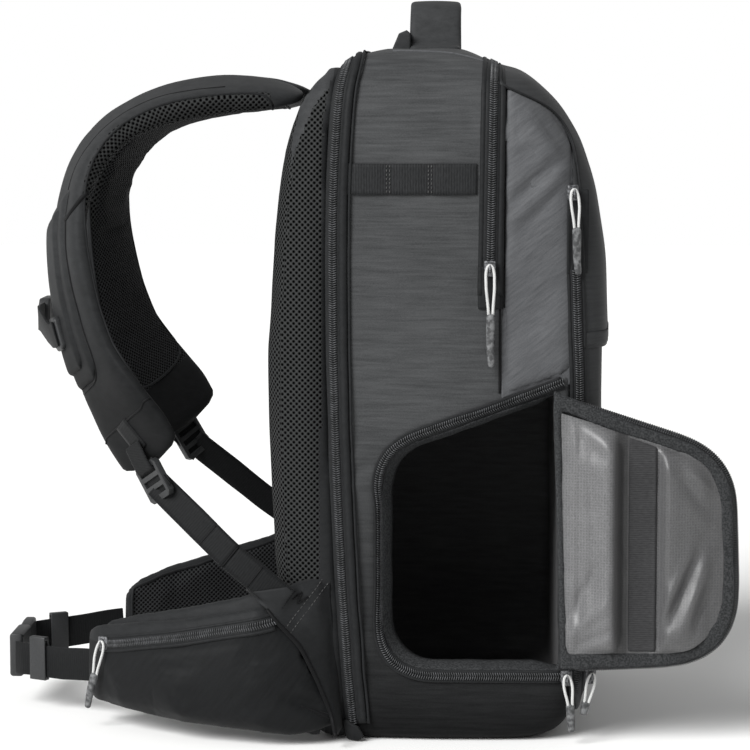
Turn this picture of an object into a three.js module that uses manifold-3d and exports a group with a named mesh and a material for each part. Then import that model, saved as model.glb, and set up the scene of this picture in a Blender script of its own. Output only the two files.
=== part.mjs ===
// A mountaineering backpack with a side door, standing on its base with the door open.
// Millimetres. +X points away from the wearer's back, +Y to the wearer's right, +Z up.
// The origin is the middle of the flat base.
import * as THREE from "three";
import { mergeVertices } from "three/addons/utils/BufferGeometryUtils.js";
import Module from "manifold-3d";

const wasm = await Module();
wasm.setup();

// Driving dimensions
const bodyHeight = 515;
const paddedWall = 8; // foam wall of the main cell
const clothWall = 5.5; // lined cloth wall of the front compartments
const gap = 0.35; // running clearance between neighbouring pieces
const frontPlane = 36; // back of the front compartment
const pocketPlane = 86; // back of the front pocket
const flapHem = 294; // lower edge of the front flap
const flapThick = 5;
const shelfRise = 9; // the front compartment's floor above the door's top edge
const frontRadius = 28;
const backRadius = 5;
const sideCrown = 2;
const frontCrown = 4;
const zipWidth = 10;
const zipProud = 2.2;
const webThick = 1.6;
const beltHeight = 25;
const strapThick = 15;
const beyond = 20; // how far a cutting shape runs past the body
const far = 220; // well outside the bag on either side

const colours = {
  shell: [0x3c3d3e, 0.75],
  mesh: [0x1d1d1e, 0.9],
  webbing: [0x2b2b2c, 0.8],
  zip: [0x262627, 0.7],
  plastic: [0x3a3a3b, 0.5],
  lining: [0x77787a, 0.45],
  cord: [0xb9bab8, 0.7],
};

// The body's plan at each height: where its back and front lie, and half its width.
const bodyRows = [
  { z: 0, back: -71, front: 66, half: 136 },
  { z: 5, back: -75, front: 77, half: 145 },
  { z: 18, back: -77, front: 90, half: 149 },
  { z: 50, back: -80, front: 105, half: 151 },
  { z: 120, back: -85, front: 107.5, half: 152 },
  { z: 205, back: -89.5, front: 108.5, half: 153 },
  { z: 290, back: -92, front: 108.5, half: 153 },
  { z: 360, back: -92.5, front: 106.5, half: 152 },
  { z: 410, back: -92, front: 98.5, half: 150 },
  { z: 445, back: -90.5, front: 86.5, half: 147 },
  { z: 470, back: -89, front: 71, half: 143 },
  { z: 490, back: -86, front: 49.5, half: 136 },
  { z: 503, back: -79, front: 29, half: 126 },
  { z: 511, back: -67, front: 12, half: 112 },
  { z: 515, back: -52, front: 2, half: 98 },
];

// The padded back: how far it stands towards the wearer, half its width, its middle channel.
const backRows = [
  { z: 9, deep: 14, half: 132, channel: 0 },
  { z: 16, deep: 30, half: 143, channel: 2 },
  { z: 60, deep: 43, half: 148, channel: 5 },
  { z: 118, deep: 46, half: 149, channel: 7 },
  { z: 164, deep: 46, half: 149, channel: 8 },
  { z: 231, deep: 46, half: 149, channel: 8 },
  { z: 291, deep: 45, half: 149, channel: 8 },
  { z: 351, deep: 41, half: 148, channel: 7 },
  { z: 403, deep: 37, half: 146, channel: 6 },
  { z: 450, deep: 33, half: 141, channel: 4 },
  { z: 476, deep: 28, half: 135, channel: 2 },
  { z: 493, deep: 20, half: 126, channel: 0 },
  { z: 501, deep: 13, half: 116, channel: 0 },
];

const backPad = {
  radius: 18,
  frontRadius: 2,
  crown: 3,
  channelShare: 0.28, // half the middle channel's width, as a share of half the panel's
  sunk: 3, // how far it reaches into the body before the body is cut from it
};

// The flap's side edges in the side view, from its hem to its sewn top.
const flapEdge = [[95, flapHem], [94, 366], [91, 404], [84, 440], [66, 473], [37, 486]];

// The zips' middle lines and the side webbing, in the side view.
const backZipHeights = [4, 50, 120, 205, 290, 360, 410, 445, 470, 490, 540];
const backZipInset = 6;
const frontZipLine = [[25.5, 332], [28.5, 540]];
const pocketZipLine = [[91.5, 24], [91.5, 264], [88.5, 345], [85.5, 407]];
const pocketZipHalf = 3.2;
const sideWeb = { left: -79.4, right: 16, low: 407.5, high: 430 };

// The grab handle's arch from one foot to its middle, as (y, z).
const handleX = -16;
const handleRows = [[-76, 518.1], [-64, 518.2], [-55, 523], [-50, 535], [-42, 545], [-28, 548.8]];
const handleCrest = [0, 549.2];

// The sleeve behind the padding takes a flat computer or a water bag.
const sleeveHalf = 134;
const sleeveRows = [
  { z: 50, back: -104 },
  { z: 120, back: -116 },
  { z: 290, back: -120 },
  { z: 360, back: -117 },
  { z: 452, back: -109 },
];

// The shoulder strap's middle line, its width, its thickness and how far its face turns outwards.
const strapRows = [
  { x: -96, y: -72, z: 477, wide: 44, thick: 0.9, turn: 5 },
  { x: -122, y: -74, z: 478, wide: 56, thick: 1.2, turn: 10 },
  { x: -155, y: -79, z: 482, wide: 64, thick: 1.3, turn: 14 },
  { x: -190, y: -84, z: 480, wide: 67, thick: 1.25, turn: 15 },
  { x: -226, y: -88, z: 472.5, wide: 68, thick: 1.2, turn: 15 },
  { x: -256, y: -92, z: 457, wide: 69, thick: 1.1, turn: 16 },
  { x: -278, y: -96, z: 432, wide: 70, thick: 1, turn: 18 },
  { x: -288, y: -99, z: 402, wide: 70, thick: 1, turn: 20 },
  { x: -290.5, y: -102, z: 371, wide: 70, thick: 1, turn: 22 },
  { x: -286, y: -105, z: 338, wide: 71, thick: 1, turn: 25 },
  { x: -278, y: -109, z: 302, wide: 74, thick: 1, turn: 29 },
  { x: -266, y: -114, z: 270, wide: 76, thick: 1, turn: 33 },
  { x: -251, y: -119, z: 243, wide: 77, thick: 0.95, turn: 38 },
  { x: -239, y: -122, z: 224, wide: 74, thick: 0.85, turn: 43 },
  { x: -230, y: -124, z: 210, wide: 67, thick: 0.65, turn: 46 },
  { x: -225, y: -125, z: 202, wide: 52, thick: 0.4, turn: 46 },
];

// The hip wing along the waist: its inner face, its height, its foam and the pouch on it.
const wingRows = [
  { x: -97, y: -149.4, low: 2, high: 122, foam: 6, pouch: 1 },
  { x: -112, y: -149.4, low: 5, high: 121, foam: 13, pouch: 6 },
  { x: -138, y: -146, low: 9, high: 117, foam: 16, pouch: 18 },
  { x: -190, y: -127, low: 13, high: 103, foam: 17, pouch: 22 },
  { x: -234, y: -103, low: 16, high: 90, foam: 15, pouch: 15 },
  { x: -258, y: -86, low: 18, high: 82, foam: 12, pouch: 7 },
  { x: -272, y: -77, low: 22, high: 70, foam: 7, pouch: 2 },
];

// The side door's opening in the near wall.
const door = {
  hinge: 77,
  left: -56,
  low: 54,
  high: 266,
  slope: 0.3545,
  lowRadius: 40,
  highRadius: 42,
  inset: 5.5,
  thick: 7,
  leafRadius: 60, // the leaf's own lower corner
  leafReach: 3.5, // how much further its free edge stands out
  rimWide: 9,
  rimTall: 5,
  stand: 158.5, // how far the open door's back lies from the middle plane
  swing: -2.5, // degrees past lying flat
  lift: 1.8, // degrees that its free edge is raised
  liningGap: 0.5, // between the lining and the rim round it
  liningThick: 2,
  tape: { out: 60, wide: 20, tall: 136, z: 140 }, // the webbing strip on the lining, from the hinge
  fold: { wide: 3, deep: 12, tall: 190, z: 160 }, // the cloth hinge
};

// The zip pulls: where each slider sits in the side view, how far its back is off the skin,
// how far the pull hangs off it, its lean in degrees, its cord and its grip.
const pulls = [
  { name: "front_zip", x: 25.5, z: 354, seat: 2.6, off: 0.5, lean: 0, loop: 46, grip: 28 },
  { name: "pocket_zip", x: 85, z: 409, seat: 2.6, off: 4, lean: 3, loop: 26, grip: 34 },
  { name: "lower_zip", x: 101, z: 50, seat: 0.7, off: 2, lean: -6, loop: 20, grip: 8 },
  { name: "door_zip", x: 83, z: 50, seat: 0.4, off: 1, lean: 5, loop: 20, grip: 20 },
];

const group = new THREE.Group();

function material(kind) {
  const [color, roughness] = colours[kind];
  return new THREE.MeshStandardMaterial({ color, roughness, metalness: 0 });
}

function add(name, geometry, kind) {
  const mesh = new THREE.Mesh(geometry, material(kind));
  mesh.name = name;
  group.add(mesh);
}

// A pair of pieces, on the wearer's left (-Y) and, mirrored, on the right.
function addPair(name, geometry, kind) {
  add(`${name}_left`, geometry, kind);
  add(`${name}_right`, mirrored(geometry), kind);
}

function mirrored(geometry) {
  const other = mergedBare(geometry).scale(1, -1, 1);
  const index = other.index.array;
  for (let i = 0; i < index.length; i += 3) {
    [index[i + 1], index[i + 2]] = [index[i + 2], index[i + 1]];
  }
  other.computeVertexNormals();
  return other;
}

// Solids and meshes
function mergedBare(geometry) {
  const bare = geometry.clone();
  bare.deleteAttribute("normal");
  bare.deleteAttribute("uv");
  return mergeVertices(bare, 1e-4);
}

function solidOf(geometry) {
  const merged = mergedBare(geometry);
  return new wasm.Manifold(
    new wasm.Mesh({
      numProp: 3,
      vertProperties: merged.attributes.position.array,
      triVerts: new Uint32Array(merged.index.array),
    }),
  );
}

function geometryOf(solid) {
  const mesh = solid.getMesh();
  const geometry = new THREE.BufferGeometry();
  geometry.setAttribute("position", new THREE.BufferAttribute(mesh.vertProperties, 3));
  geometry.setIndex(new THREE.BufferAttribute(mesh.triVerts, 1));
  geometry.computeVertexNormals();
  return geometry;
}

function signedVolume(position, index) {
  let total = 0;
  const [a, b, c] = [new THREE.Vector3(), new THREE.Vector3(), new THREE.Vector3()];
  for (let i = 0; i < index.length; i += 3) {
    a.fromArray(position, 3 * index[i]);
    b.fromArray(position, 3 * index[i + 1]);
    c.fromArray(position, 3 * index[i + 2]);
    total += a.dot(b.cross(c)) / 6;
  }
  return total;
}

// The triangles that close one end of a loft, on the ring's own mean plane.
function capTriangles(ring) {
  const normal = new THREE.Vector3();
  ring.forEach((p, i) => {
    const q = ring[(i + 1) % ring.length];
    normal.add(new THREE.Vector3().crossVectors(p, q));
  });
  normal.normalize();
  const across = new THREE.Vector3().subVectors(ring[1], ring[0]);
  across.addScaledVector(normal, -across.dot(normal)).normalize();
  const along = new THREE.Vector3().crossVectors(normal, across);
  const flat = ring.map((p) => new THREE.Vector2(p.dot(across), p.dot(along)));
  return THREE.ShapeUtils.triangulateShape(flat, []);
}

// Skins a row of rings, each an equal list of points, into one closed surface.
function loft(rings) {
  const n = rings[0].length;
  const position = rings.flat().flatMap((p) => [p.x, p.y, p.z]);
  let index = [];
  for (let i = 0; i < rings.length - 1; i++) {
    for (let j = 0; j < n; j++) {
      const k = (j + 1) % n;
      const [a, b, c, d] = [i * n + j, i * n + k, (i + 1) * n + j, (i + 1) * n + k];
      index.push(a, b, c, b, d, c);
    }
  }
  const last = (rings.length - 1) * n;
  capTriangles(rings[0]).forEach(([a, b, c]) => index.push(a, c, b));
  capTriangles(rings.at(-1)).forEach(([a, b, c]) => index.push(last + a, last + b, last + c));
  if (signedVolume(position, index) < 0) index = index.reverse();
  const geometry = new THREE.BufferGeometry();
  geometry.setAttribute("position", new THREE.Float32BufferAttribute(position, 3));
  geometry.setIndex(index);
  geometry.computeVertexNormals();
  return geometry;
}

const shapeOf = (points) => new THREE.Shape(points.map((p) => new THREE.Vector2(...p)));

function extruded(shape, depth) {
  return new THREE.ExtrudeGeometry(shape, { depth, bevelEnabled: false, curveSegments: 6 });
}

// An outline in the side view (x, z), carried across the bag from one y to another.
function slab(outline, yLow, yHigh) {
  const shape = Array.isArray(outline) ? shapeOf(outline) : outline;
  const made = extruded(shape, yHigh - yLow);
  return made.rotateX(Math.PI / 2).translate(0, yHigh, 0);
}

// Turns a shape drawn in (y, z) and carried forward into one carried along x.
const sidewaysMatrix = new THREE.Matrix4().makeBasis(
  new THREE.Vector3(0, 1, 0),
  new THREE.Vector3(0, 0, 1),
  new THREE.Vector3(1, 0, 0),
);

// Plan outlines
// A four-cornered outline with rounded corners, and points along each edge that a bulge pushes out.
function plan(corners, arcSteps, edges) {
  const points = [];
  const outward = [[0, -1], [1, 0], [0, 1], [-1, 0]];
  const arcs = corners.map(({ x, y, r }, i) => {
    const cx = x + (i === 0 || i === 3 ? r : -r);
    const cy = y + (i < 2 ? r : -r);
    return Array.from({ length: arcSteps + 1 }, (_, k) => {
      const angle = Math.PI + (Math.PI / 2) * (i + k / arcSteps);
      return [cx + r * Math.cos(angle), cy + r * Math.sin(angle)];
    });
  });
  arcs.forEach((arc, i) => {
    points.push(...arc);
    const [from, to] = [arc.at(-1), arcs[(i + 1) % 4][0]];
    const { count, bulge } = edges[i];
    for (let k = 1; k <= count; k++) {
      const t = k / (count + 1);
      const push = bulge(2 * t - 1);
      points.push([
        from[0] + (to[0] - from[0]) * t + outward[i][0] * push,
        from[1] + (to[1] - from[1]) * t + outward[i][1] * push,
      ]);
    }
  });
  return points;
}

const crown = (height) => (t) => height * (1 - t * t);

// The whole body as one closed form, grown or shrunk all round.
function bodyForm(grow) {
  const stretch = (bodyHeight + 2 * grow) / bodyHeight;
  const rings = bodyRows.map(({ z, back, front, half }) => {
    const [x0, x1, y1] = [back - grow, front + grow, half + grow];
    const rf = Math.min(frontRadius + grow, 0.4 * (x1 - x0));
    const rb = Math.max(backRadius + grow, 2);
    const corners = [
      { x: x0, y: -y1, r: rb },
      { x: x1, y: -y1, r: rf },
      { x: x1, y: y1, r: rf },
      { x: x0, y: y1, r: rb },
    ];
    const side = { count: 3, bulge: crown(sideCrown) };
    const edges = [side, { count: 3, bulge: crown(frontCrown) }, side, { count: 1, bulge: () => 0 }];
    return plan(corners, 4, edges).map(([x, y]) => new THREE.Vector3(x, y, z * stretch - grow));
  });
  return solidOf(loft(rings));
}

const wholeWidth = (outline) => solidOf(slab(outline, -far, far));
const nearSide = (outline) => solidOf(slab(outline, -far, -beyond));
const farSide = (outline) => solidOf(slab(outline, beyond, far));

// The top edge of the door's opening, in the side view.
const doorTop = (x) => door.high - door.slope * (door.hinge - x);

// A raised band on the body's skin, inside an outline of the side view.
const skinOuter = bodyForm(zipProud);
const skinInner = bodyForm(gap);
const skin = skinOuter.subtract(skinInner);

const bodyBack = (z) => between(bodyRows, z, "back");

function between(rows, z, column) {
  const i = Math.max(1, rows.findIndex((r) => r.z >= z));
  const [a, b] = [rows[i - 1], rows[i]];
  return a[column] + ((b[column] - a[column]) * (z - a.z)) / (b.z - a.z);
}

// Main cell: padded walls, open to the back panel and through the side door.
function makeMainShell() {
  const shelf = (x) => doorTop(x) + shelfRise - gap;
  const region = wholeWidth([
    [-far, -beyond], [pocketPlane - gap, -beyond], [pocketPlane - gap, shelf(pocketPlane)],
    [frontPlane, shelf(frontPlane)], [frontPlane, bodyHeight + beyond], [-far, bodyHeight + beyond],
  ]);
  const [x1, x2, w] = [pocketPlane - gap - paddedWall, frontPlane - paddedWall, paddedWall];
  const room = wholeWidth([
    [-far, w], [x1, w], [x1, shelf(x1) - w], [x2, shelf(x2) - w],
    [x2, bodyHeight - w], [-far, bodyHeight - w],
  ]);
  const opening = solidOf(slab(doorOutline(0), -far, -110));
  const hollow = bodyForm(-paddedWall).intersect(room);
  return bodyForm(0).intersect(region).subtract(hollow).subtract(makeBackMouth()).subtract(opening);
}

// The mouth in the back of the main cell, which the padded back panel closes.
function makeBackMouth() {
  const mouth = { low: 18, high: 490, rim: paddedWall + 3, from: -110, deep: 40 };
  const rows = bodyRows.filter(({ z }) => z >= mouth.low && z <= mouth.high);
  const right = rows.map(({ z, half }) => [half - mouth.rim, z]);
  const left = rows.map(({ z, half }) => [mouth.rim - half, z]).reverse();
  const made = extruded(shapeOf([...right, ...left]), mouth.deep);
  return solidOf(made.applyMatrix4(sidewaysMatrix).translate(mouth.from, 0, 0));
}

function makeFrontCompartment() {
  const floor = (x) => doorTop(x) + shelfRise;
  const front = pocketPlane - gap;
  const region = wholeWidth([
    [frontPlane + gap, floor(frontPlane)], [front, floor(front)],
    [front, bodyHeight + beyond], [frontPlane + gap, bodyHeight + beyond],
  ]);
  const [x, w, back] = [front - clothWall, clothWall, frontPlane - beyond];
  const room = wholeWidth([
    [back, floor(back) + w], [x, floor(x) + w], [x, bodyHeight + beyond], [back, bodyHeight + beyond],
  ]);
  return bodyForm(0).intersect(region).subtract(bodyForm(-clothWall).intersect(room));
}

function makeFrontPocket() {
  const region = wholeWidth([
    [pocketPlane, -beyond], [far, -beyond], [far, bodyHeight], [pocketPlane, bodyHeight],
  ]);
  return bodyForm(0).intersect(region).subtract(bodyForm(-clothWall));
}

// The flap over the upper front: a padded cover that ends in a free hem.
function makeFrontFlap() {
  const top = bodyHeight + 45;
  const region = wholeWidth([...flapEdge, [flapEdge.at(-1)[0], top], [far, top], [far, flapHem]]);
  return bodyForm(flapThick).subtract(bodyForm(gap)).intersect(region);
}

// The padded back panel, flat against the main cell and channelled down its middle.
function makeBackPanel(grow = 0) {
  const rings = backRows.map(({ z, deep, half, channel }, i) => {
    const end = i === 0 ? -grow : i === backRows.length - 1 ? grow : 0;
    const front = bodyBack(z) + backPad.sunk;
    const back = bodyBack(z) - deep - grow;
    const r = Math.min(backPad.radius, 0.45 * deep);
    const corners = [
      { x: back, y: -half - grow, r },
      { x: front, y: -half - grow, r: backPad.frontRadius },
      { x: front, y: half + grow, r: backPad.frontRadius },
      { x: back, y: half + grow, r },
    ];
    const flat = { count: 0, bulge: () => 0 };
    const dip = (t) => crown(backPad.crown)(t) - channel * Math.exp(-((t / backPad.channelShare) ** 2));
    const edges = [flat, flat, flat, { count: 7, bulge: dip }];
    return plan(corners, 3, edges).map(([x, y]) => new THREE.Vector3(x, y, z + end));
  });
  return solidOf(loft(rings)).subtract(skinInner);
}

// The flat sleeve in the padded back, open to the cell.
function makeSleeve() {
  const behind = sleeveRows.map(({ z, back }) => [back, z]);
  const [low, high] = [sleeveRows[0].z, sleeveRows.at(-1).z];
  return solidOf(slab([[0, low], ...behind, [0, high]], -sleeveHalf, sleeveHalf));
}

// Zips and webbing on the body's skin
function bandAlong(points, half) {
  const right = points.map(([x, z]) => [x + half, z]);
  const left = points.map(([x, z]) => [x - half, z]).reverse();
  return [...right, ...left];
}

function makeBackZip() {
  const straight = 490; // it runs straight up from here
  const line = backZipHeights.map((z) => [bodyBack(Math.min(z, straight)) + backZipInset, z]);
  return skin.intersect(wholeWidth(bandAlong(line, zipWidth / 2))).subtract(makeBackPanel(gap));
}

// The folded tab that covers the back zip's lower end.
function makeZipEnd() {
  const shape = [[-88, 1], [-70, 1], [-67, 5], [-71, 12], [-80, 16], [-88, 12]];
  const [thick, inner] = [3, -139];
  const fold = bodyForm(zipProud + gap + thick).subtract(bodyForm(zipProud + gap));
  return geometryOf(fold.intersect(solidOf(slab(shape, -far, inner))).subtract(makeBackPanel(gap)));
}

// The small folded tab behind the handle's near foot.
function makeTopTab() {
  const shape = [[-50, 515.5], [-37.5, 515.5], [-37.5, 527], [-40, 529], [-45, 527]];
  return slab(shape, -70, -42);
}

const makeFrontZip = () => skin.intersect(wholeWidth(bandAlong(frontZipLine, zipWidth / 2)));

const makePocketZip = () => skin.intersect(nearSide(bandAlong(pocketZipLine, pocketZipHalf)));

function makeSideWebbing(side) {
  const thin = bodyForm(webThick).subtract(skinInner);
  const { left, right, low, high } = sideWeb;
  return thin.intersect(side([[left, low], [right, low], [right, high], [left, high]]));
}

// The side door
// The door's outline in the side view, taken in all round and, for the open door, turned over.
function doorOutline(inset, turned = false) {
  const { hinge, low, high, slope, highRadius } = door;
  const left = turned ? door.left - door.leafReach : door.left;
  const lowRadius = turned ? door.leafRadius : door.lowRadius;
  const x = (value) => (turned ? 2 * hinge - value : value);
  const [x0, x1, z0] = [left + inset, hinge, low + inset];
  const top = (at) => high - inset * Math.hypot(1, slope) - slope * (hinge - at);
  const r = { low: lowRadius - inset / 2, high: highRadius - inset / 2 };
  const shape = new THREE.Shape();
  shape.moveTo(x(x1), z0);
  shape.lineTo(x(x0 + r.low), z0);
  shape.quadraticCurveTo(x(x0), z0, x(x0), z0 + r.low);
  shape.lineTo(x(x0), top(x0) - r.high);
  shape.quadraticCurveTo(x(x0), top(x0), x(x0 + r.high), top(x0 + r.high));
  shape.lineTo(x(x1), top(x1));
  shape.closePath();
  return shape;
}

// Everything between two places along the side view.
function strip(x0, x1, low = -beyond) {
  const high = bodyHeight + beyond;
  return wholeWidth([[x0, low], [x1, low], [x1, high], [x0, high]]);
}

function makeOpeningZip() {
  const [inner, outer] = [1, 7]; // its edges outside the opening
  const ring = nearSide(doorOutline(-outer)).subtract(nearSide(doorOutline(-inner)));
  return skin.intersect(ring).intersect(strip(-far, door.hinge - 0.5));
}

// The open door's pieces are made flat, facing the viewer's side (-Y), then swung by a few degrees.
function swung(solid) {
  const geometry = geometryOf(solid);
  const turn = THREE.MathUtils.degToRad(door.swing);
  const raise = THREE.MathUtils.degToRad(door.lift);
  geometry.translate(-door.hinge, door.stand, -door.low).rotateY(-raise).rotateZ(-turn);
  return geometry.translate(door.hinge, -door.stand, door.low);
}

// A layer of the open door, from one distance off its back to another.
function doorSlab(inset, from, to) {
  return solidOf(slab(doorOutline(inset, true), -door.stand - to, -door.stand - from));
}

function addDoor() {
  const { inset, thick, rimWide, rimTall, hinge, low, stand, liningGap, liningThick, tape, fold } = door;
  const freeEdge = far + 60;
  const keep = strip(hinge + 1, freeEdge);
  add("door_panel", swung(doorSlab(inset, 0, thick).intersect(keep)), "shell");
  const inner = strip(hinge + 7, freeEdge, low + 17);
  const face = thick + gap;
  const lining = doorSlab(inset + rimWide + liningGap, face, face + liningThick).intersect(inner);
  const hole = doorSlab(inset + rimWide, 0, thick + beyond);
  const frame = doorSlab(inset, face, thick + rimTall).intersect(keep);
  const rim = frame.subtract(hole.intersect(inner.translate(-liningGap, 0, -liningGap)));
  add("door_rim", swung(rim), "shell");
  add("door_lining", swung(lining), "lining");
  const tapeBox = new THREE.BoxGeometry(tape.wide, webThick, tape.tall);
  tapeBox.translate(hinge + tape.out, -stand - face - liningThick - gap - webThick / 2, tape.z);
  add("door_tape", swung(solidOf(tapeBox)), "webbing");
  const zipRing = doorSlab(inset - 3.5, 1.5, 4.5).subtract(doorSlab(inset - gap, 0, thick + 1));
  add("door_zip", swung(zipRing.intersect(strip(hinge + 10, freeEdge))), "zip");
  const foldBox = new THREE.BoxGeometry(fold.wide, fold.deep, fold.tall);
  foldBox.translate(hinge + 4, fold.deep / 2 + 0.5 - stand, fold.z);
  add("door_hinge", geometryOf(solidOf(foldBox).subtract(skinInner)), "shell");
}

// Straps
// A frame on a curve: where it is, its own way along, its width and the way its face looks.
function strapFrames(rows) {
  const line = new THREE.CatmullRomCurve3(rows.map((r) => new THREE.Vector3(r.x, r.y, r.z)));
  const aside = new THREE.Vector3(0, 1, 0);
  return rows.map((row, i) => {
    const along = line.getTangent(i / (rows.length - 1));
    const out = new THREE.Vector3().crossVectors(aside, along).normalize();
    const side = new THREE.Vector3().crossVectors(along, out);
    const turn = THREE.MathUtils.degToRad(row.turn);
    const width = side.clone().multiplyScalar(Math.cos(turn)).addScaledVector(out, Math.sin(turn));
    const face = out.clone().multiplyScalar(Math.cos(turn)).addScaledVector(side, -Math.sin(turn));
    return { ...row, at: new THREE.Vector3(row.x, row.y, row.z), along, width, face };
  });
}

const frames = strapFrames(strapRows);
const strapCrown = (row, s) => (strapThick * row.thick * (1 - 0.6 * s ** 4)) / 2;

function strapPoint({ at, width, face }, across, up) {
  return at.clone().addScaledVector(width, across).addScaledVector(face, up);
}

function makeStrap() {
  const shares = [-1, -0.82, -0.4, 0, 0.4, 0.82, 1];
  const rings = frames.map((frame) => {
    const top = shares.map((s) => strapPoint(frame, (s * frame.wide) / 2, strapCrown(frame, s)));
    const under = shares.map((s) => strapPoint(frame, (s * frame.wide) / 2, -strapCrown(frame, s)));
    return [...top, ...under.reverse()];
  });
  return solidOf(loft(rings));
}

// The flat pocket sewn on the strap's outer face.
function makeStrapPocket() {
  const shares = [-0.72, -0.36, 0, 0.36, 0.72];
  const rings = frames.slice(6, 12).map((frame, i, all) => {
    const thick = i === 0 || i === all.length - 1 ? 1.2 : 4;
    const place = (lift) => (s) => {
      return strapPoint(frame, (s * frame.wide) / 2, strapCrown(frame, s) + lift);
    };
    return [...shares.map(place(gap + thick)), ...shares.map(place(gap)).reverse()];
  });
  return loft(rings);
}

// A flat band of even width and thickness along a line of places; its width points a given way.
function band(line, wide, thick, [wayFrom, wayTo = wayFrom, begin = 0, end = 1], steps, soften = 0) {
  const curve = new THREE.CatmullRomCurve3(line, false, "centripetal");
  const [a, b] = [1 - soften, 1];
  const corners = soften
    ? [[b, 0.4], [a, 1], [-a, 1], [-b, 0.4], [-b, -0.4], [-a, -1], [a, -1], [b, -0.4]]
    : [[1, 1], [-1, 1], [-1, -1], [1, -1]];
  const rings = Array.from({ length: steps + 1 }, (_, i) => {
    const at = curve.getPoint(i / steps);
    const along = curve.getTangent(i / steps);
    const way = wayFrom.clone().lerp(wayTo, THREE.MathUtils.smoothstep(i / steps, begin, end));
    way.addScaledVector(along, -way.dot(along)).normalize();
    const face = new THREE.Vector3().crossVectors(along, way);
    return corners.map(([u, v]) => {
      return at.clone().addScaledVector(way, (u * wide) / 2).addScaledVector(face, (v * thick) / 2);
    });
  });
  return loft(rings);
}

const place = (x, y, z) => new THREE.Vector3(x, y, z);
const upright = place(0, 0, 1);

// The ladder-lock below the strap's tip, with three slots.
const lock = { long: 30, wide: 28, thick: 5, bar: 3.6, slot: 4.6, web: 20 };
const tip = frames.at(-1);
const lockWay = place(0.47, -0.16, -0.86).normalize();
const lockFace = tip.face.clone().addScaledVector(lockWay, -tip.face.dot(lockWay)).normalize();
const lockWidth = new THREE.Vector3().crossVectors(lockWay, lockFace);
const lockOff = { along: 8.5, out: 10.3, aside: place(4, 0, 1) }; // from the strap's tip
const lockAt = tip.at
  .clone()
  .addScaledVector(lockWay, lockOff.along)
  .addScaledVector(lockFace, lockOff.out)
  .add(lockOff.aside);

function onLock(along, up) {
  return lockAt.clone().addScaledVector(lockWay, along).addScaledVector(lockFace, up);
}

function makeLadderLock() {
  const { long, wide, thick, bar, slot, web } = lock;
  const plate = chamferedPlate(wide, long, 3);
  [-1, 0, 1].forEach((k) => {
    const [x, y] = [web / 2 + 0.7, k * (slot + bar)];
    const corners = [[-x, y - slot / 2], [-x, y + slot / 2], [x, y + slot / 2], [x, y - slot / 2]];
    plate.holes.push(new THREE.Path(corners.map(([u, v]) => new THREE.Vector2(u, v))));
  });
  const turn = new THREE.Matrix4().makeBasis(lockWidth, lockWay, lockFace).setPosition(lockAt);
  return extruded(plate, thick).translate(0, 0, -thick / 2).applyMatrix4(turn);
}

function chamferedPlate(wide, long, cut) {
  const [x, y] = [wide / 2, long / 2];
  const corners = [
    [cut - x, -y], [x - cut, -y], [x, cut - y], [x, y - cut],
    [x - cut, y], [cut - x, y], [-x, y - cut], [-x, cut - y],
  ];
  return shapeOf(corners);
}

// The short tab that holds the ladder-lock: from the strap's face, through the top slot and under.
function makeLockTab() {
  const way = [
    [-32, 3.4], [-24, 3.8], [-17, 4.2], [-12.6, 4], [-9.2, 3.4], [-8.2, 1.4], [-8.2, -1.4],
  ];
  return band(way.map(([u, v]) => onLock(u, v)), lock.web, webThick, [lockWidth], 14);
}

// The adjusting webbing: a tail, over the lock's lower bar, and down to the top of the hip wing.
function makeLowerWebbing() {
  const through = [
    [36, -8.4], [16, -6.6], [6, -6.3], [2, -5.2], [0, -2.4], [0, 1.4], [1.4, 3.6], [4.1, 4.2],
    [6.8, 3.6], [8.2, 1.4], [8.4, -1.4], [10, -3.7], [13.5, -4.2], [20, -4.3],
  ];
  const down = [
    [-187, -150, 160], [-165, -160, 139.5], [-148, -165, 126.5], [-135, -166.2, 118], [-125, -166.4, 112.5],
  ];
  const line = [...through.map(([u, v]) => onLock(u, v)), ...down.map((p) => place(...p))];
  return band(line, lock.web, webThick, [lockWidth, place(-0.5, 0.06, -0.86), 0.72, 0.88], 66);
}

// Hip wings
function wingFrames() {
  const points = wingRows.map(({ x, y }) => place(x, y, 0));
  const line = new THREE.CatmullRomCurve3(points);
  return wingRows.map((row, i) => {
    const along = line.getTangent(i / (points.length - 1));
    return { ...row, at: points[i], out: place(along.y, -along.x, 0).normalize() };
  });
}

const wings = wingFrames().map((w) => ({ ...w, out: w.out.y > 0 ? w.out.negate() : w.out }));

function makeWing(grow = 0) {
  const count = 14;
  const rings = wings.map(({ at, out, low, high, foam }) => {
    const [a, b] = [foam / 2 + grow, (high - low) / 2 + grow];
    return Array.from({ length: count }, (_, k) => {
      const angle = (2 * Math.PI * (k + 0.5)) / count;
      const [c, s] = [Math.cos(angle), Math.sin(angle)];
      const u = foam / 2 + a * Math.sign(c) * Math.abs(c) ** 0.5;
      const v = (low + high) / 2 + b * Math.sign(s) * Math.abs(s) ** 0.7;
      return at.clone().addScaledVector(out, u).add(place(0, 0, v));
    });
  });
  return solidOf(loft(rings));
}

const wingZip = (x) => 94 + (x + 135) * 0.215;

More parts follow.
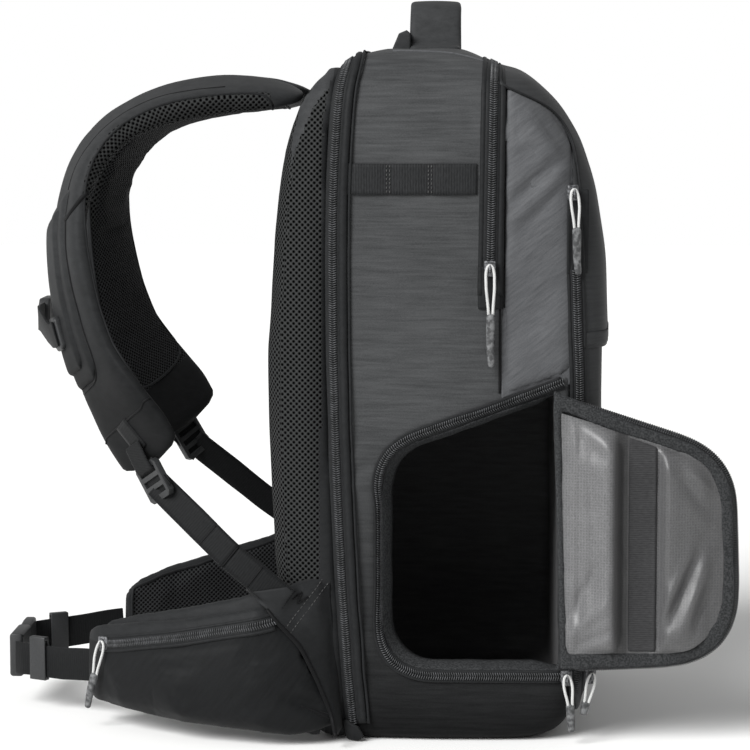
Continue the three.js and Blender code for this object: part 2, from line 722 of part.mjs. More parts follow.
// The zipped pouch on the wing's outer face, fullest below its zip.
function pouchForm(grow) {
  const rings = wings.map(({ at, out, low, high, foam, pouch, x }) => {
    const zip = Math.min(wingZip(x), high - 6);
    const top = Math.min(zip + 9, high - 2);
    const section = [
      [foam / 2, top + grow], [foam + 0.45 * pouch + grow, top + grow],
      [foam + 0.75 * pouch + grow, zip], [foam + pouch + grow, 0.45 * zip + 0.55 * low],
      [foam + 0.85 * pouch + grow, low + 9], [foam + 0.4 * pouch + grow, low + 1.5 - grow],
      [foam / 2, low + 1 - grow],
    ];
    return section.map(([u, v]) => at.clone().addScaledVector(out, u).add(place(0, 0, v)));
  });
  return solidOf(loft(rings));
}

const pouchEnds = [
  [-272, -20], [-100, -20], [-100, 36], [-114, 62], [-131, 98], [-140, 106], [-150, 160], [-272, 160],
];

const pouchWall = 2.4;

function makeHipPocket() {
  const outside = pouchForm(0).intersect(nearSide(pouchEnds)).subtract(makeWing(gap));
  return outside.subtract(pouchForm(-pouchWall));
}

function makeHipZip() {
  const [x0, x1] = [-267, -132];
  const [half, proud] = [4, 1.8];
  const [z0, z1] = [wingZip(x0), wingZip(x1)];
  const zipBand = [[x0, z0 - half], [x1, z1 - half], [x1, z1 + half], [x0, z0 + half]];
  return pouchForm(proud).subtract(pouchForm(gap)).subtract(makeWing(gap)).intersect(nearSide(zipBand));
}

// The waist belt's webbing, its slide adjuster and the buckle halves that meet in front.
const beltZ = 41; // at the buckle
const beltLine = [
  { x: -275.3, y: -79.2, z: 45.5 },
  { x: -292, y: -69.8, z: 44.5 },
  { x: -311, y: -59.5, z: 43 },
  { x: -325, y: -51.95, z: 42 },
  { x: -339, y: -44.4, z: 41 },
  { x: -345.3, y: -37.9, z: 41 },
];

const buckleTall = beltHeight + 9;

function makeBeltWebbing() {
  const line = beltLine.map(({ x, y, z }) => place(x, y, z));
  return band(line, beltHeight, webThick, [upright], 15);
}

function makeBeltAdjuster() {
  const [wide, deep] = [15, 6];
  const frame = solidOf(new THREE.BoxGeometry(wide, deep, buckleTall));
  const slit = solidOf(new THREE.BoxGeometry(2 * wide, webThick + 1, beltHeight + 3));
  const [a, at, b] = [beltLine[2], beltLine[3], beltLine[4]];
  const turn = Math.atan2(b.y - a.y, b.x - a.x);
  const made = geometryOf(frame.subtract(slit)).rotateZ(turn);
  return made.translate(at.x, at.y, at.z);
}

// A plate drawn in (y, z), standing across the wearer's front.
function frontPlate(shape, thick, x, bevel) {
  const made = new THREE.ExtrudeGeometry(shape, {
    depth: thick - 2 * bevel,
    bevelEnabled: true,
    bevelThickness: bevel,
    bevelSize: bevel,
    bevelOffset: -bevel,
    bevelSegments: 1,
  });
  return made.applyMatrix4(sidewaysMatrix).translate(x - thick / 2 + bevel, 0, 0);
}

function addBeltBuckle() {
  const [half, x] = [buckleTall / 2, -345.5];
  const socket = [[-37, -half], [4, -half], [4, -6], [-2, 0], [4, 6], [4, half], [-37, half]];
  const plug = [
    [4.4, 2 - half], [24, -half], [37, -half], [37, half], [24, half],
    [4.4, half - 2], [4.4, 6], [-1.4, 0], [4.4, -6],
  ];
  add("belt_buckle_left", frontPlate(shapeOf(socket), 11, x, 1.5).translate(0, 0, beltZ), "plastic");
  add("belt_buckle_right", frontPlate(shapeOf(plug), 9, x, 1.2).translate(0, 0, beltZ), "plastic");
}

// The sternum strap: a slide on each shoulder strap, webbing and a buckle between.
const chest = {
  z: 309,
  x: -323,
  reach: [[-318, -72], [-322, -50], [-323, -20.4]], // the webbing from the slide to the buckle, as (x, y)
  web: 19,
  slide: { wide: 15, long: 26, thick: 5, off: 4.2 },
};

function addSternum() {
  const { z, x, reach, web, slide } = chest;
  const frame = frames[10];
  const lift = strapCrown(frame, 0.51) + slide.off + 2 * gap;
  const seat = strapPoint(frame, web, lift).addScaledVector(frame.along, -6);
  const turn = new THREE.Matrix4().makeBasis(frame.width, frame.along, frame.face).setPosition(seat);
  const plate = extruded(chamferedPlate(slide.wide, slide.long, 3), slide.thick);
  addPair("sternum_slide", plate.applyMatrix4(turn), "plastic");
  const top = seat.clone().addScaledVector(frame.face, slide.thick + gap + 1);
  const onSlide = (along) => top.clone().addScaledVector(frame.width, along);
  const line = [onSlide(-5), onSlide(5), ...reach.map((p) => place(...p, z))];
  const ways = [frame.along.clone().negate(), upright, 0.3, 0.7];
  addPair("sternum_webbing", band(line, web, webThick, ways, 12), "webbing");
  const buckle = frontPlate(chamferedPlate(40, 25, 4), 9, x, 1.2);
  add("sternum_buckle", buckle.translate(0, 0, z), "plastic");
}

// The grab handle: a padded arch over the top, its feet sewn flat.
function makeTopHandle() {
  const [wide, thick] = [40, 5];
  const full = [...handleRows, handleCrest, ...handleRows.map(([y, z]) => [-y, z]).reverse()];
  const line = full.map(([y, z]) => place(handleX, y, z));
  return band(line, wide, thick, [place(1, 0, 0)], 30, 0.1);
}

// Zip pulls: a slider on the zip, a loop of cord and a grip, hanging straight down.
function sideAt(x, z) {
  const [back, front, half] = ["back", "front", "half"].map((c) => between(bodyRows, z, c));
  const [x0, x1] = [back + backRadius, front - frontRadius];
  if (x > x1) return half - frontRadius + Math.sqrt(Math.max(0, frontRadius ** 2 - (x - x1) ** 2));
  const t = (2 * (x - x0)) / (x1 - x0) - 1;
  return half + sideCrown * (1 - t * t);
}

function makePull(loop, grip) {
  const [cord, lap] = [2.2, 2];
  const ring = chamferedPlate(7.5, loop, 2.5);
  ring.holes.push(new THREE.Path(chamferedPlate(3.1, loop - 2 * cord, 1).getPoints()));
  const carried = (shape, deep) => extruded(shape, deep).translate(0, 0, -deep / 2).rotateX(Math.PI / 2);
  const hold = carried(chamferedPlate(6.5, grip, 2), 4).translate(0, 0, lap - loop - grip / 2);
  const held = carried(ring, 2.4).translate(0, 0, -loop / 2);
  return geometryOf(solidOf(held).add(solidOf(hold)));
}

function addPull({ name, x, z, seat, off, lean, loop, grip }) {
  const deep = 4.5 + off;
  const y = -sideAt(x - 4, z) - seat - deep / 2;
  const slider = new THREE.BoxGeometry(8, deep, 12);
  add(`${name}_slider`, slider.translate(x, y, z), "plastic");
  const hung = makePull(loop, grip).rotateY(-THREE.MathUtils.degToRad(lean));
  add(`${name}_pull`, hung.translate(x, y - off / 2, z - 6 - gap), "cord");
}

// The hip pocket's slider and pull, at the zip's front end.
function addHipPull() {
  const [a, b] = [wings[4], wings[5]];
  const lift = zipProud + gap + 4.8;
  const spot = (w) => w.at.clone().addScaledVector(w.out, w.foam + 0.75 * w.pouch + lift);
  const at = spot(a).lerp(spot(b), 0.72);
  const turn = Math.atan2(a.out.y + b.out.y, a.out.x + b.out.x) + Math.PI / 2;
  const z = wingZip(at.x);
  const slider = new THREE.BoxGeometry(12, 4.5, 8).rotateZ(turn);
  addPair("hip_zip_slider", slider.translate(at.x, at.y, z), "plastic");
  const hung = makePull(26, 30).rotateY(THREE.MathUtils.degToRad(16)).rotateZ(turn);
  addPair("hip_zip_pull", hung.translate(at.x, at.y - 1, z - 4.3 - gap), "cord");
}

function build() {
  const backPanel = makeBackPanel().subtract(makeSleeve());
  add("main_shell", geometryOf(makeMainShell()), "shell");
  add("front_compartment", geometryOf(makeFrontCompartment()), "shell");
  add("front_pocket", geometryOf(makeFrontPocket()), "shell");
  add("front_flap", geometryOf(makeFrontFlap()), "shell");
  add("back_panel", geometryOf(backPanel), "mesh");
  add("back_zip", geometryOf(makeBackZip()), "zip");
  add("front_zip", geometryOf(makeFrontZip()), "zip");
  add("pocket_zip", geometryOf(makePocketZip()), "zip");
  add("opening_zip", geometryOf(makeOpeningZip()), "zip");
  add("side_webbing_left", geometryOf(makeSideWebbing(nearSide)), "webbing");
  add("side_webbing_right", geometryOf(makeSideWebbing(farSide)), "webbing");
  addPair("zip_end", makeZipEnd(), "webbing");
  add("top_tab", makeTopTab(), "webbing");
  addDoor();
  const strap = makeStrap().subtract(makeBackPanel(gap));
  addPair("shoulder_strap", geometryOf(strap), "mesh");
  addPair("strap_pocket", makeStrapPocket(), "shell");
  addPair("ladder_lock", makeLadderLock(), "plastic");
  addPair("lock_tab", makeLockTab(), "webbing");
  addPair("lower_webbing", makeLowerWebbing(), "webbing");
  addPair("hip_wing", geometryOf(makeWing()), "mesh");
  addPair("hip_pocket", geometryOf(makeHipPocket()), "shell");
  addPair("hip_zip", geometryOf(makeHipZip()), "zip");
  addPair("belt_webbing", makeBeltWebbing(), "webbing");
  addPair("belt_adjuster", makeBeltAdjuster(), "plastic");
  addBeltBuckle();
  addSternum();
  add("top_handle", makeTopHandle(), "webbing");
  pulls.forEach(addPull);
  addHipPull();
}

build();

export default group;
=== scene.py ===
import math

import bmesh
import bpy
import numpy as np
from mathutils import Matrix, Vector, noise
from mathutils.bvhtree import BVHTree


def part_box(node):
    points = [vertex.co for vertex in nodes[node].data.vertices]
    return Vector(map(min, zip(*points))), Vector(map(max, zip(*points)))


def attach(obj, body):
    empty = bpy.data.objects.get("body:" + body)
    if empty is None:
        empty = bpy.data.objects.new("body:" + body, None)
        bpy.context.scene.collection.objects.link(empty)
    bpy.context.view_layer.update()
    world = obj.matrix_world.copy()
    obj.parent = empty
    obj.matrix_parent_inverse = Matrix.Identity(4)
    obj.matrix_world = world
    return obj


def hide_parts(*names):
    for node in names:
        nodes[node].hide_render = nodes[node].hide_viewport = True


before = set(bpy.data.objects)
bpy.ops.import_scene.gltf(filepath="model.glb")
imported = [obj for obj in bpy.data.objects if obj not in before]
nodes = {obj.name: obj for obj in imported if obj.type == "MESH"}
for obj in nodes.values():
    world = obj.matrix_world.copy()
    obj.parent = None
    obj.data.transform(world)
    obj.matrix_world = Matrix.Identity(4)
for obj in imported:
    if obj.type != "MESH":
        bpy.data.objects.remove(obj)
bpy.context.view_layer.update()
scene = bpy.context.scene
mm = 0.001
rayFrom = 0.5  # rays at the sides start this far out
acrossWay = np.array([0, 1.0, 0])
hands = ((-1, "Left"), (1, "Right"))
print("frame loaded:", len(nodes), "nodes")


# Small helpers
def pick(*pieces):
    bpy.ops.object.select_all(action="DESELECT")
    for piece in pieces:
        piece.select_set(True)
    bpy.context.view_layer.objects.active = pieces[0]


def applied(piece, kind, **settings):
    modifier = piece.modifiers.new(kind.lower(), kind)
    for key, value in settings.items():
        setattr(modifier, key, value)
    pick(piece)
    bpy.ops.object.modifier_apply(modifier=modifier.name)
    return piece


def thickened(piece, thick, offset=-1):
    return applied(piece, "SOLIDIFY", thickness=thick * mm, offset=offset)


def refined(piece):
    return applied(piece, "SUBSURF", levels=1, render_levels=1)


def edited(piece, *steps):
    # runs edit-mode operators on the whole mesh
    pick(piece)
    bpy.ops.object.mode_set(mode="EDIT")
    bpy.ops.mesh.select_all(action="SELECT")
    for operator, settings in steps:
        operator(**settings)
    bpy.ops.object.mode_set(mode="OBJECT")
    return piece


outwards = (bpy.ops.mesh.normals_make_consistent, {"inside": False})


def newPiece(name, verts, faces):
    mesh = bpy.data.meshes.new(name)
    mesh.from_pydata(verts, [], faces)
    piece = bpy.data.objects.new(name, mesh)
    scene.collection.objects.link(piece)
    return piece


def bareCopy(source, name):
    # a copy with a mesh of its own and none of the source's marks
    piece = source.copy()
    piece.data = source.data.copy()
    piece.name = piece.data.name = name
    piece.parent = None
    for key in list(piece.keys()):
        del piece[key]
    scene.collection.objects.link(piece)
    return piece


def copyOf(node, name):
    piece = bareCopy(nodes[node], name)
    piece.data.materials.clear()
    return edited(piece, (bpy.ops.mesh.remove_doubles, {"threshold": 0.02 * mm}), outwards)


def hulled(piece):
    return edited(piece, (bpy.ops.mesh.convex_hull, {}))


def eased(piece, voxel, rounds):
    # even quads, with the CAD's flats and corners rubbed soft
    applied(piece, "REMESH", mode="VOXEL", voxel_size=voxel * mm, use_smooth_shade=True)
    return applied(piece, "SMOOTH", factor=0.5, iterations=rounds)


def points(piece):
    co = np.empty(len(piece.data.vertices) * 3)
    piece.data.vertices.foreach_get("co", co)
    return co.reshape(-1, 3)


def vertexNormals(piece):
    out = np.empty(len(piece.data.vertices) * 3, np.float32)
    piece.data.vertex_normals.foreach_get("vector", out)
    return out.reshape(-1, 3).astype(float)


def setPoints(piece, co):
    piece.data.vertices.foreach_set("co", co.ravel())
    piece.data.update()


def nudged(piece, axis, push):
    # moves each point along one axis, by a function of where it is
    co = points(piece)
    co[:, axis] += push(co)
    setPoints(piece, co)
    return piece


def faceArrays(piece):
    mesh = piece.data
    centre = np.empty(len(mesh.polygons) * 3, np.float32)
    normal = np.empty(len(mesh.polygons) * 3, np.float32)
    mesh.polygons.foreach_get("center", centre)
    mesh.polygons.foreach_get("normal", normal)
    return centre.reshape(-1, 3).astype(float), normal.reshape(-1, 3).astype(float)


def gridFaces(tall, wide):
    return [
        (j * wide + i, j * wide + i + 1, (j + 1) * wide + i + 1, (j + 1) * wide + i)
        for j in range(tall - 1)
        for i in range(wide - 1)
    ]


def sheetOf(name, grid, facing, uvs=None):
    # a sheet of quads through a grid of points, its faces turned to one side
    grid = np.asarray(grid)
    piece = newPiece(name, grid.reshape(-1, 3).tolist(), gridFaces(*grid.shape[:2]))
    if uvs is not None:
        layer = piece.data.uv_layers.new(name="UVMap")
        for loop in piece.data.loops:
            layer.data[loop.index].uv = uvs[loop.vertex_index]
    if faceArrays(piece)[1].mean(0) @ np.array(facing) < 0:
        piece.data.flip_normals()
    return piece


def joined(name, pieces):
    pick(*pieces)
    if len(pieces) > 1:
        bpy.ops.object.join()
    pieces[0].name = pieces[0].data.name = name
    return pieces[0]


def paint(piece, materials, index=None):
    piece.data.materials.clear()
    for material in materials:
        piece.data.materials.append(material)
    if index is not None:
        piece.data.polygons.foreach_set("material_index", np.asarray(index, np.int32))
    piece.data.polygons.foreach_set("use_smooth", np.ones(len(piece.data.polygons), bool))
    piece.data.update()
    return piece


def keep(piece, slotName, *replaced):
    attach(piece, "root")
    if replaced:
        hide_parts(*replaced)
    return piece


def mirrored(piece, name):
    # the same piece on the wearer's other side
    twin = bareCopy(piece, name)
    twin.data.transform(Matrix.Scale(-1, 4, (0, 1, 0)))
    twin.data.flip_normals()
    return twin


def keepPair(piece, slotName, replaced=None):
    # the left piece and its twin, each for its own CAD node
    twin = mirrored(piece, piece.name.removesuffix("Left") + "Right")
    for side, each in (("_left", piece), ("_right", twin)):
        keep(each, slotName, *([replaced + side] if replaced else []))
    return piece, twin


def finished(piece, material, slotName, *replaced):
    return keep(paint(piece, [cloth[material]]), slotName, *replaced)


def finishedPair(piece, material, slotName, replaced=None):
    return keepPair(paint(piece, [cloth[material]]), slotName, replaced)


def boxUv(piece, slices=None):
    # UV in metres, laid flat on the plane each face is nearest to
    mesh = piece.data
    centre, normal = faceArrays(piece)
    co = points(piece)
    count = np.empty(len(mesh.polygons), np.int32)
    corner = np.empty(len(mesh.loops), np.int32)
    mesh.polygons.foreach_get("loop_total", count)
    mesh.loops.foreach_get("vertex_index", corner)
    face = np.repeat(np.arange(len(count)), count)
    local, turned = co, normal
    if slices:
        local, turned = localIn(slices, co)[0], turnedIn(slices, centre, normal)
    flat = np.abs(turned).argmax(1)[face]
    first = np.choose(flat, [1, 0, 0])
    second = np.choose(flat, [2, 2, 1])
    at = local[corner]
    rows = np.arange(len(corner))
    uv = np.stack([at[rows, first], at[rows, second]], 1)
    layer = mesh.uv_layers.get("UVMap") or mesh.uv_layers.new(name="UVMap")
    layer.data.foreach_set("uv", uv.astype(np.float32).ravel())
    return piece


# Lines and what runs along them
def unit(rows):
    return rows / np.maximum(np.linalg.norm(rows, axis=-1, keepdims=True), 1e-12)


def tangents(line):
    return unit(np.gradient(np.asarray(line, float), axis=0))


def runAlong(line):
    return np.r_[0, np.cumsum(np.linalg.norm(np.diff(line, axis=0), axis=1))]


def spaced(line, step):
    # the same line with points an even step apart
    line = np.asarray(line, float)
    run = runAlong(line[:, :3])
    at = np.linspace(0, run[-1], max(3, int(round(run[-1] / step)) + 1))
    return np.stack([np.interp(at, run, line[:, i]) for i in range(line.shape[1])], 1)


def picked(rows, count):
    # so many of the rows, spread evenly
    return rows[np.linspace(0, len(rows) - 1, count).astype(int)]


def softLine(line, rounds):
    line = np.asarray(line, float).copy()
    for _ in range(rounds):
        line[1:-1] = 0.5 * line[1:-1] + 0.25 * (line[:-2] + line[2:])
    return line


def drawnLine(rows, step, rounds=0):
    # a line drawn in mm, with points an even step apart and its corners eased
    return softLine(spaced(np.array(rows, float) * mm, step * mm), rounds)


def softRing(line, rounds):
    for _ in range(rounds):
        line = 0.5 * line + 0.25 * (np.roll(line, 1, 0) + np.roll(line, -1, 0))
    return line


def evened(grid, rounds):
    for _ in range(rounds):
        grid[1:-1] = 0.5 * grid[1:-1] + 0.25 * (grid[:-2] + grid[2:])
        grid[:, 1:-1] = 0.5 * grid[:, 1:-1] + 0.25 * (grid[:, :-2] + grid[:, 2:])
    return grid


def smoothStep(t):
    t = np.clip(t, 0, 1)
    return t**2 * (3 - 2 * t)


def fromTable(at, rows, scale=1.0, step=mm):
    # a value between the rows of a table of (place, value)
    places, values = np.array(rows, float).T
    return np.interp(at, places * step, values * scale)


def between(values, limits):
    return (values > limits[0] * mm) & (values < limits[1] * mm)


def tubeFaces(n, m, closed=False):
    # quads round a tube of n rings of m points, and its two ends
    faces = [
        (i * m + k, i * m + (k + 1) % m, (i + 1) % n * m + (k + 1) % m, (i + 1) % n * m + k)
        for i in range(n if closed else n - 1)
        for k in range(m)
    ]
    if not closed:
        faces += [tuple(range(m - 1, -1, -1)), tuple((n - 1) * m + k for k in range(m))]
    return faces


def sweep(name, line, out, profile, closed=False, scale=None):
    # carries a cross-section (across, out) along a line, with UV in metres
    line = np.asarray(line, float)
    along = tangents(line)
    if closed:
        along = unit(np.roll(line, -1, 0) - np.roll(line, 1, 0))
    out = np.broadcast_to(np.asarray(out, float), line.shape)
    across = unit(np.cross(along, out))
    out = unit(np.cross(across, along))
    ring = np.asarray(profile, float)
    size = np.ones(len(line)) if scale is None else np.asarray(scale, float)
    verts = line[:, None] + size[:, None, None] * (
        ring[None, :, :1] * across[:, None] + ring[None, :, 1:] * out[:, None]
    )
    n, m = len(line), len(ring)
    girth, run = runAlong(np.r_[ring, ring[:1]]), runAlong(np.r_[line, line[:1]])
    uvs = [
        (girth[k + a], run[i + b])
        for i in range(n if closed else n - 1)
        for k in range(m)
        for a, b in ((0, 0), (1, 0), (1, 1), (0, 1))
    ]
    if not closed:
        uvs += [(0, 0)] * (2 * m)
    piece = newPiece(name, verts.reshape(-1, 3).tolist(), tubeFaces(n, m, closed))
    layer = piece.data.uv_layers.new(name="UVMap")
    layer.data.foreach_set("uv", np.asarray(uvs, np.float32).ravel())
    return edited(piece, outwards)


def circle(radius, count=8):
    turn = [2 * math.pi * i / count for i in range(count)]
    return [(radius * mm * math.cos(t), radius * mm * math.sin(t)) for t in turn]


def flatProfile(wide, thick, crown=0.0, count=7):
    # a strap's cross-section in mm: rounded edges, and a crown if it is padded
    wide, thick, crown = wide * mm, thick * mm, crown * mm
    half = wide / 2
    xs = np.linspace(-half, half, count)
    top = [(x, thick / 2 + crown * (1 - (x / half) ** 2)) for x in xs]
    edge = [(half + thick * 0.25, 0)]
    low = [(x, -thick / 2) for x in xs[::-1]]
    return top + edge + low + [(-half - thick * 0.25, 0)]


def copiesAlong(name, shape, faces, line, out, pitch):
    # one small shape, x across, y along and z out, copied along a line
    rows = spaced(np.c_[line, out], pitch * mm)
    at, up = rows[:, :3], unit(rows[:, 3:])
    along = tangents(at)
    ways = np.stack([unit(np.cross(along, up)), along, up], 1)
    verts = at[:, None] + shape @ ways
    copied = [[i * len(shape) + k for k in face] for i in range(len(at)) for face in faces]
    return newPiece(name, verts.reshape(-1, 3).tolist(), copied)


def takenShape(piece):
    # a shape's points and faces, without its piece
    shape = points(piece), [list(p.vertices) for p in piece.data.polygons]
    bpy.data.objects.remove(piece)
    return shape


def treeOf(*pieces):
    verts, faces = [], []
    for piece in pieces:
        start = len(verts)
        verts += points(piece).tolist()
        faces += [[start + i for i in p.vertices] for p in piece.data.polygons]
    return BVHTree.FromPolygons(verts, faces)


def cast(tree, origin, way):
    hit, normal, _, _ = tree.ray_cast(Vector(origin), Vector(way).normalized())
    if hit is None:
        hit, normal, _, _ = tree.find_nearest(Vector(origin))
    if normal.dot(Vector(way)) > 0:
        normal = -normal
    return np.array(hit), np.array(normal)


def castSide(tree, x, z, side=-1):
    return cast(tree, (x, side * rayFrom, z), (0, -side, 0))


def softHits(hits, rounds, more=3):
    # a row of hits as a line and its normals, both evened
    return softLine([h[0] for h in hits], rounds), unit(softLine([h[1] for h in hits], rounds + more))


def sideLine(tree, rows, step=4, rounds=3, side=-1):
    # lays a line drawn in the side view (x, z in mm) on the cloth
    return softHits([castSide(tree, x, z, side) for x, z in drawnLine(rows, step)], rounds)


def hoopLine(tree, rows, low):
    # lays a line over the top from side to side; rows give x for each height
    centre, halfWide = 250 * mm, 152 * mm
    start = math.atan2(low * mm - centre, halfWide)
    hits, height = [], low * mm
    for turn in np.linspace(start, math.pi - start, 420):
        way = np.array([0, -math.cos(turn), math.sin(turn)])
        for _ in range(2):
            origin = np.array([fromTable(height, rows, mm), 0, centre]) + way * 0.7
            hit, normal = cast(tree, origin, -way)
            height = hit[2]
        hits.append(np.r_[hit, normal])
    hits = spaced(hits, 4 * mm)
    return softLine(hits[:, :3], 6), unit(softLine(hits[:, 3:], 8))


def shifted(line, out, sideways, lift=0.0):
    across = unit(np.cross(tangents(line), out))
    return line + sideways * mm * across + lift * mm * out


def roundedCorners(rows, radii, steps=14):
    # a drawn line with its corners turned to arcs
    rows = [np.asarray(p, float) for p in rows]
    made = [rows[0]]
    for i in range(1, len(rows) - 1):
        a = unit(rows[i - 1] - rows[i])
        b = unit(rows[i + 1] - rows[i])
        half = math.acos(np.clip(a @ b, -1, 1)) / 2
        reach = radii[i] / math.tan(half)
        start, end = rows[i] + a * reach, rows[i] + b * reach
        for t in np.linspace(0, 1, steps):
            made.append((1 - t) ** 2 * start + 2 * t * (1 - t) * rows[i] + t * t * end)
    return np.array(made + [rows[-1]])


def inwardWays(flat, towards):
    # square to a drawn line, on the side of a point
    along = tangents(flat)
    ways = np.stack([-along[:, 1], along[:, 0]], 1)
    return ways * np.sign(np.sum(ways * (np.array(towards) - flat), 1))[:, None]


def seamTubes(name, piece, radius, rounds=10, among=None):
    # piping where two materials of a piece meet
    tree = treeOf(piece)
    mesh = bmesh.new()
    mesh.from_mesh(piece.data)
    links = {}
    for edge in mesh.edges:
        kinds = {f.material_index for f in edge.link_faces}
        if len(kinds) > 1 and (among is None or among in kinds):
            a, b = edge.verts
            links.setdefault(a.index, []).append(b.index)
            links.setdefault(b.index, []).append(a.index)
    mesh.verts.ensure_lookup_table()
    place = {i: (np.array(mesh.verts[i].co), np.array(mesh.verts[i].normal)) for i in links}
    mesh.free()
    tubes, seen = [], set()
    for first in sorted(links):
        if first in seen:
            continue
        chain, now = [first], first
        seen.add(first)
        while True:
            nextOnes = [i for i in links[now] if i not in seen]
            if not nextOnes:
                break
            now = nextOnes[0]
            seen.add(now)
            chain.append(now)
        if len(chain) < 12:
            continue
        closed = first in links[chain[-1]]
        soft = softRing if closed else softLine
        line, out = (soft(np.array([place[i][k] for i in chain]), rounds) for k in (0, 1))
        line = np.array([tree.find_nearest(Vector(point))[0] for point in line])  # back on the cloth
        tubes.append(sweep(name, line[::2], out[::2], circle(radius), closed))
    return joined(name, tubes)


# Wrinkles
def drawnFold(flat, fold, rim=0.0):
    # how far one fold moves points of the side view, in mm, with a shallow rim beside it
    x0, z0, x1, z1, wide, deep = fold
    start, way = np.array([x0, z0]), np.array([x1 - x0, z1 - z0])
    t = np.clip(((flat - start) @ way) / (way @ way), 0, 1)
    gone = np.linalg.norm(flat - (start + t[:, None] * way), axis=1)
    ends = np.sin(np.pi * np.clip(t, 0.04, 0.96)) ** 0.6
    return deep * ends * (np.exp(-((gone / wide) ** 2)) - rim * np.exp(-((gone / (2.1 * wide)) ** 2)))


def rippled(co, size, seed):
    # smooth noise at one size, a value for each point
    return np.array([noise.noise(Vector(p) / size + Vector((seed, 2 * seed, 3 * seed))) for p in co])


def slackened(piece, ripples, folds=(), side=-1, outside=None):
    # pushes cloth along its normals: broad slack, fine slack, and drawn folds in the side view
    co, out = points(piece), vertexNormals(piece)
    push = np.zeros(len(co))
    for seed, (size, depth) in enumerate(ripples):
        push += depth * mm * rippled(co, size * mm, 7.3 + seed)
    if outside is not None:
        push *= outside(co, out)
    facing = np.clip((side * out[:, 1] - 0.25) / 0.5, 0, 1) if side else 1.0
    for fold in folds:
        push += facing * mm * drawnFold(co[:, [0, 2]] / mm, fold, 0.45)
    setPoints(piece, co + push[:, None] * out)
    return piece


padCloth = {
    "quality": 4,
    "mass": 0.25,
    "tension_stiffness": 12,
    "compression_stiffness": 12,
    "shear_stiffness": 6,
    "bending_stiffness": 0.4,
    "use_pressure": True,
    "vertex_group_mass": "sewn",
}


def puffed(piece, sewn, pressure, cap, frames=20):
    # swells a padded piece by cloth simulation, held where it is sewn; no point moves further than the cap
    start = points(piece)
    group = piece.vertex_groups.new(name="sewn")
    group.add(np.flatnonzero(sewn).tolist(), 1.0, "ADD")
    modifier = piece.modifiers.new("cloth", "CLOTH")
    for key, value in padCloth.items():
        setattr(modifier.settings, key, value)
    modifier.settings.uniform_pressure_force = pressure
    modifier.settings.effector_weights.gravity = 0
    modifier.point_cache.frame_end = frames
    for now in range(1, frames + 1):
        scene.frame_set(now)
    solved = piece.evaluated_get(bpy.context.evaluated_depsgraph_get())
    move = points(solved) - start
    far = np.linalg.norm(move, axis=1)
    piece.modifiers.remove(modifier)
    piece.vertex_groups.remove(group)
    scene.frame_set(1)
    setPoints(piece, start + move * (np.minimum(far, cap * mm) / np.maximum(far, 1e-9))[:, None])
    print("puffed", piece.name, "by", round(far.max() / mm, 1), "mm at most before the cap")
    return piece


# Materials
dullGloss = 0.12


def linear(hexText):
    # sRGB hex to the linear colour that a shader takes
    parts = [int(hexText[i : i + 2], 16) / 255 for i in (0, 2, 4)]
    return [p / 12.92 if p <= 0.04045 else ((p + 0.055) / 1.055) ** 2.4 for p in parts] + [1.0]


def addNode(tree, kind, inputs=None, **settings):
    node = tree.nodes.new(kind)
    for key, value in settings.items():
        setattr(node, key, value)
    for key, value in (inputs or {}).items():
        if isinstance(value, bpy.types.NodeSocket):
            tree.links.new(value, node.inputs[key])
        else:
            node.inputs[key].default_value = value
    return node


def maths(tree, operation, *values):
    return addNode(tree, "ShaderNodeMath", dict(enumerate(values)), operation=operation).outputs[0]


def vectorMaths(tree, operation, *values):
    node = addNode(tree, "ShaderNodeVectorMath", dict(enumerate(values)), operation=operation)
    return node.outputs["Value" if operation == "LENGTH" else "Vector"]


def ranged(tree, value, *limits, **settings):
    # limits: from low, from high, to low, to high
    return addNode(tree, "ShaderNodeMapRange", dict(enumerate((value, *limits))), **settings).outputs[0]


def noiseAt(tree, where, scale, detail, **inputs):
    inputs = {"Vector": where, "Scale": scale, "Detail": detail, **inputs}
    return addNode(tree, "ShaderNodeTexNoise", inputs).outputs[0]


def objectAt(tree):
    return addNode(tree, "ShaderNodeTexCoord").outputs["Object"]


def uvAt(tree):
    return addNode(tree, "ShaderNodeUVMap", uv_map="UVMap").outputs[0]


def axesOf(tree, vector):
    return addNode(tree, "ShaderNodeSeparateXYZ", {0: vector}).outputs


def newMaterial(name, rough, specular=dullGloss):
    material = bpy.data.materials.new(name)
    material.use_nodes = True
    tree = material.node_tree
    shader = tree.nodes["Principled BSDF"]
    shader.inputs["Roughness"].default_value = rough
    shader.inputs["Specular IOR Level"].default_value = specular
    return material, tree, shader


def blendColours(tree, share, dark, light):
    mix = addNode(tree, "ShaderNodeMix", {0: share, 6: linear(dark), 7: linear(light)}, data_type="RGBA")
    return mix.outputs[2]


def surfaced(tree, shader, colour, height, strength, distance, sheen=0.0, **settings):
    # puts the colour, the raised yarn and a bloom into the shader
    tree.links.new(colour, shader.inputs["Base Color"])
    inputs = {"Strength": strength, "Distance": distance * mm, "Height": height}
    bump = addNode(tree, "ShaderNodeBump", inputs, **settings)
    tree.links.new(bump.outputs[0], shader.inputs["Normal"])
    shader.inputs["Sheen Weight"].default_value = sheen


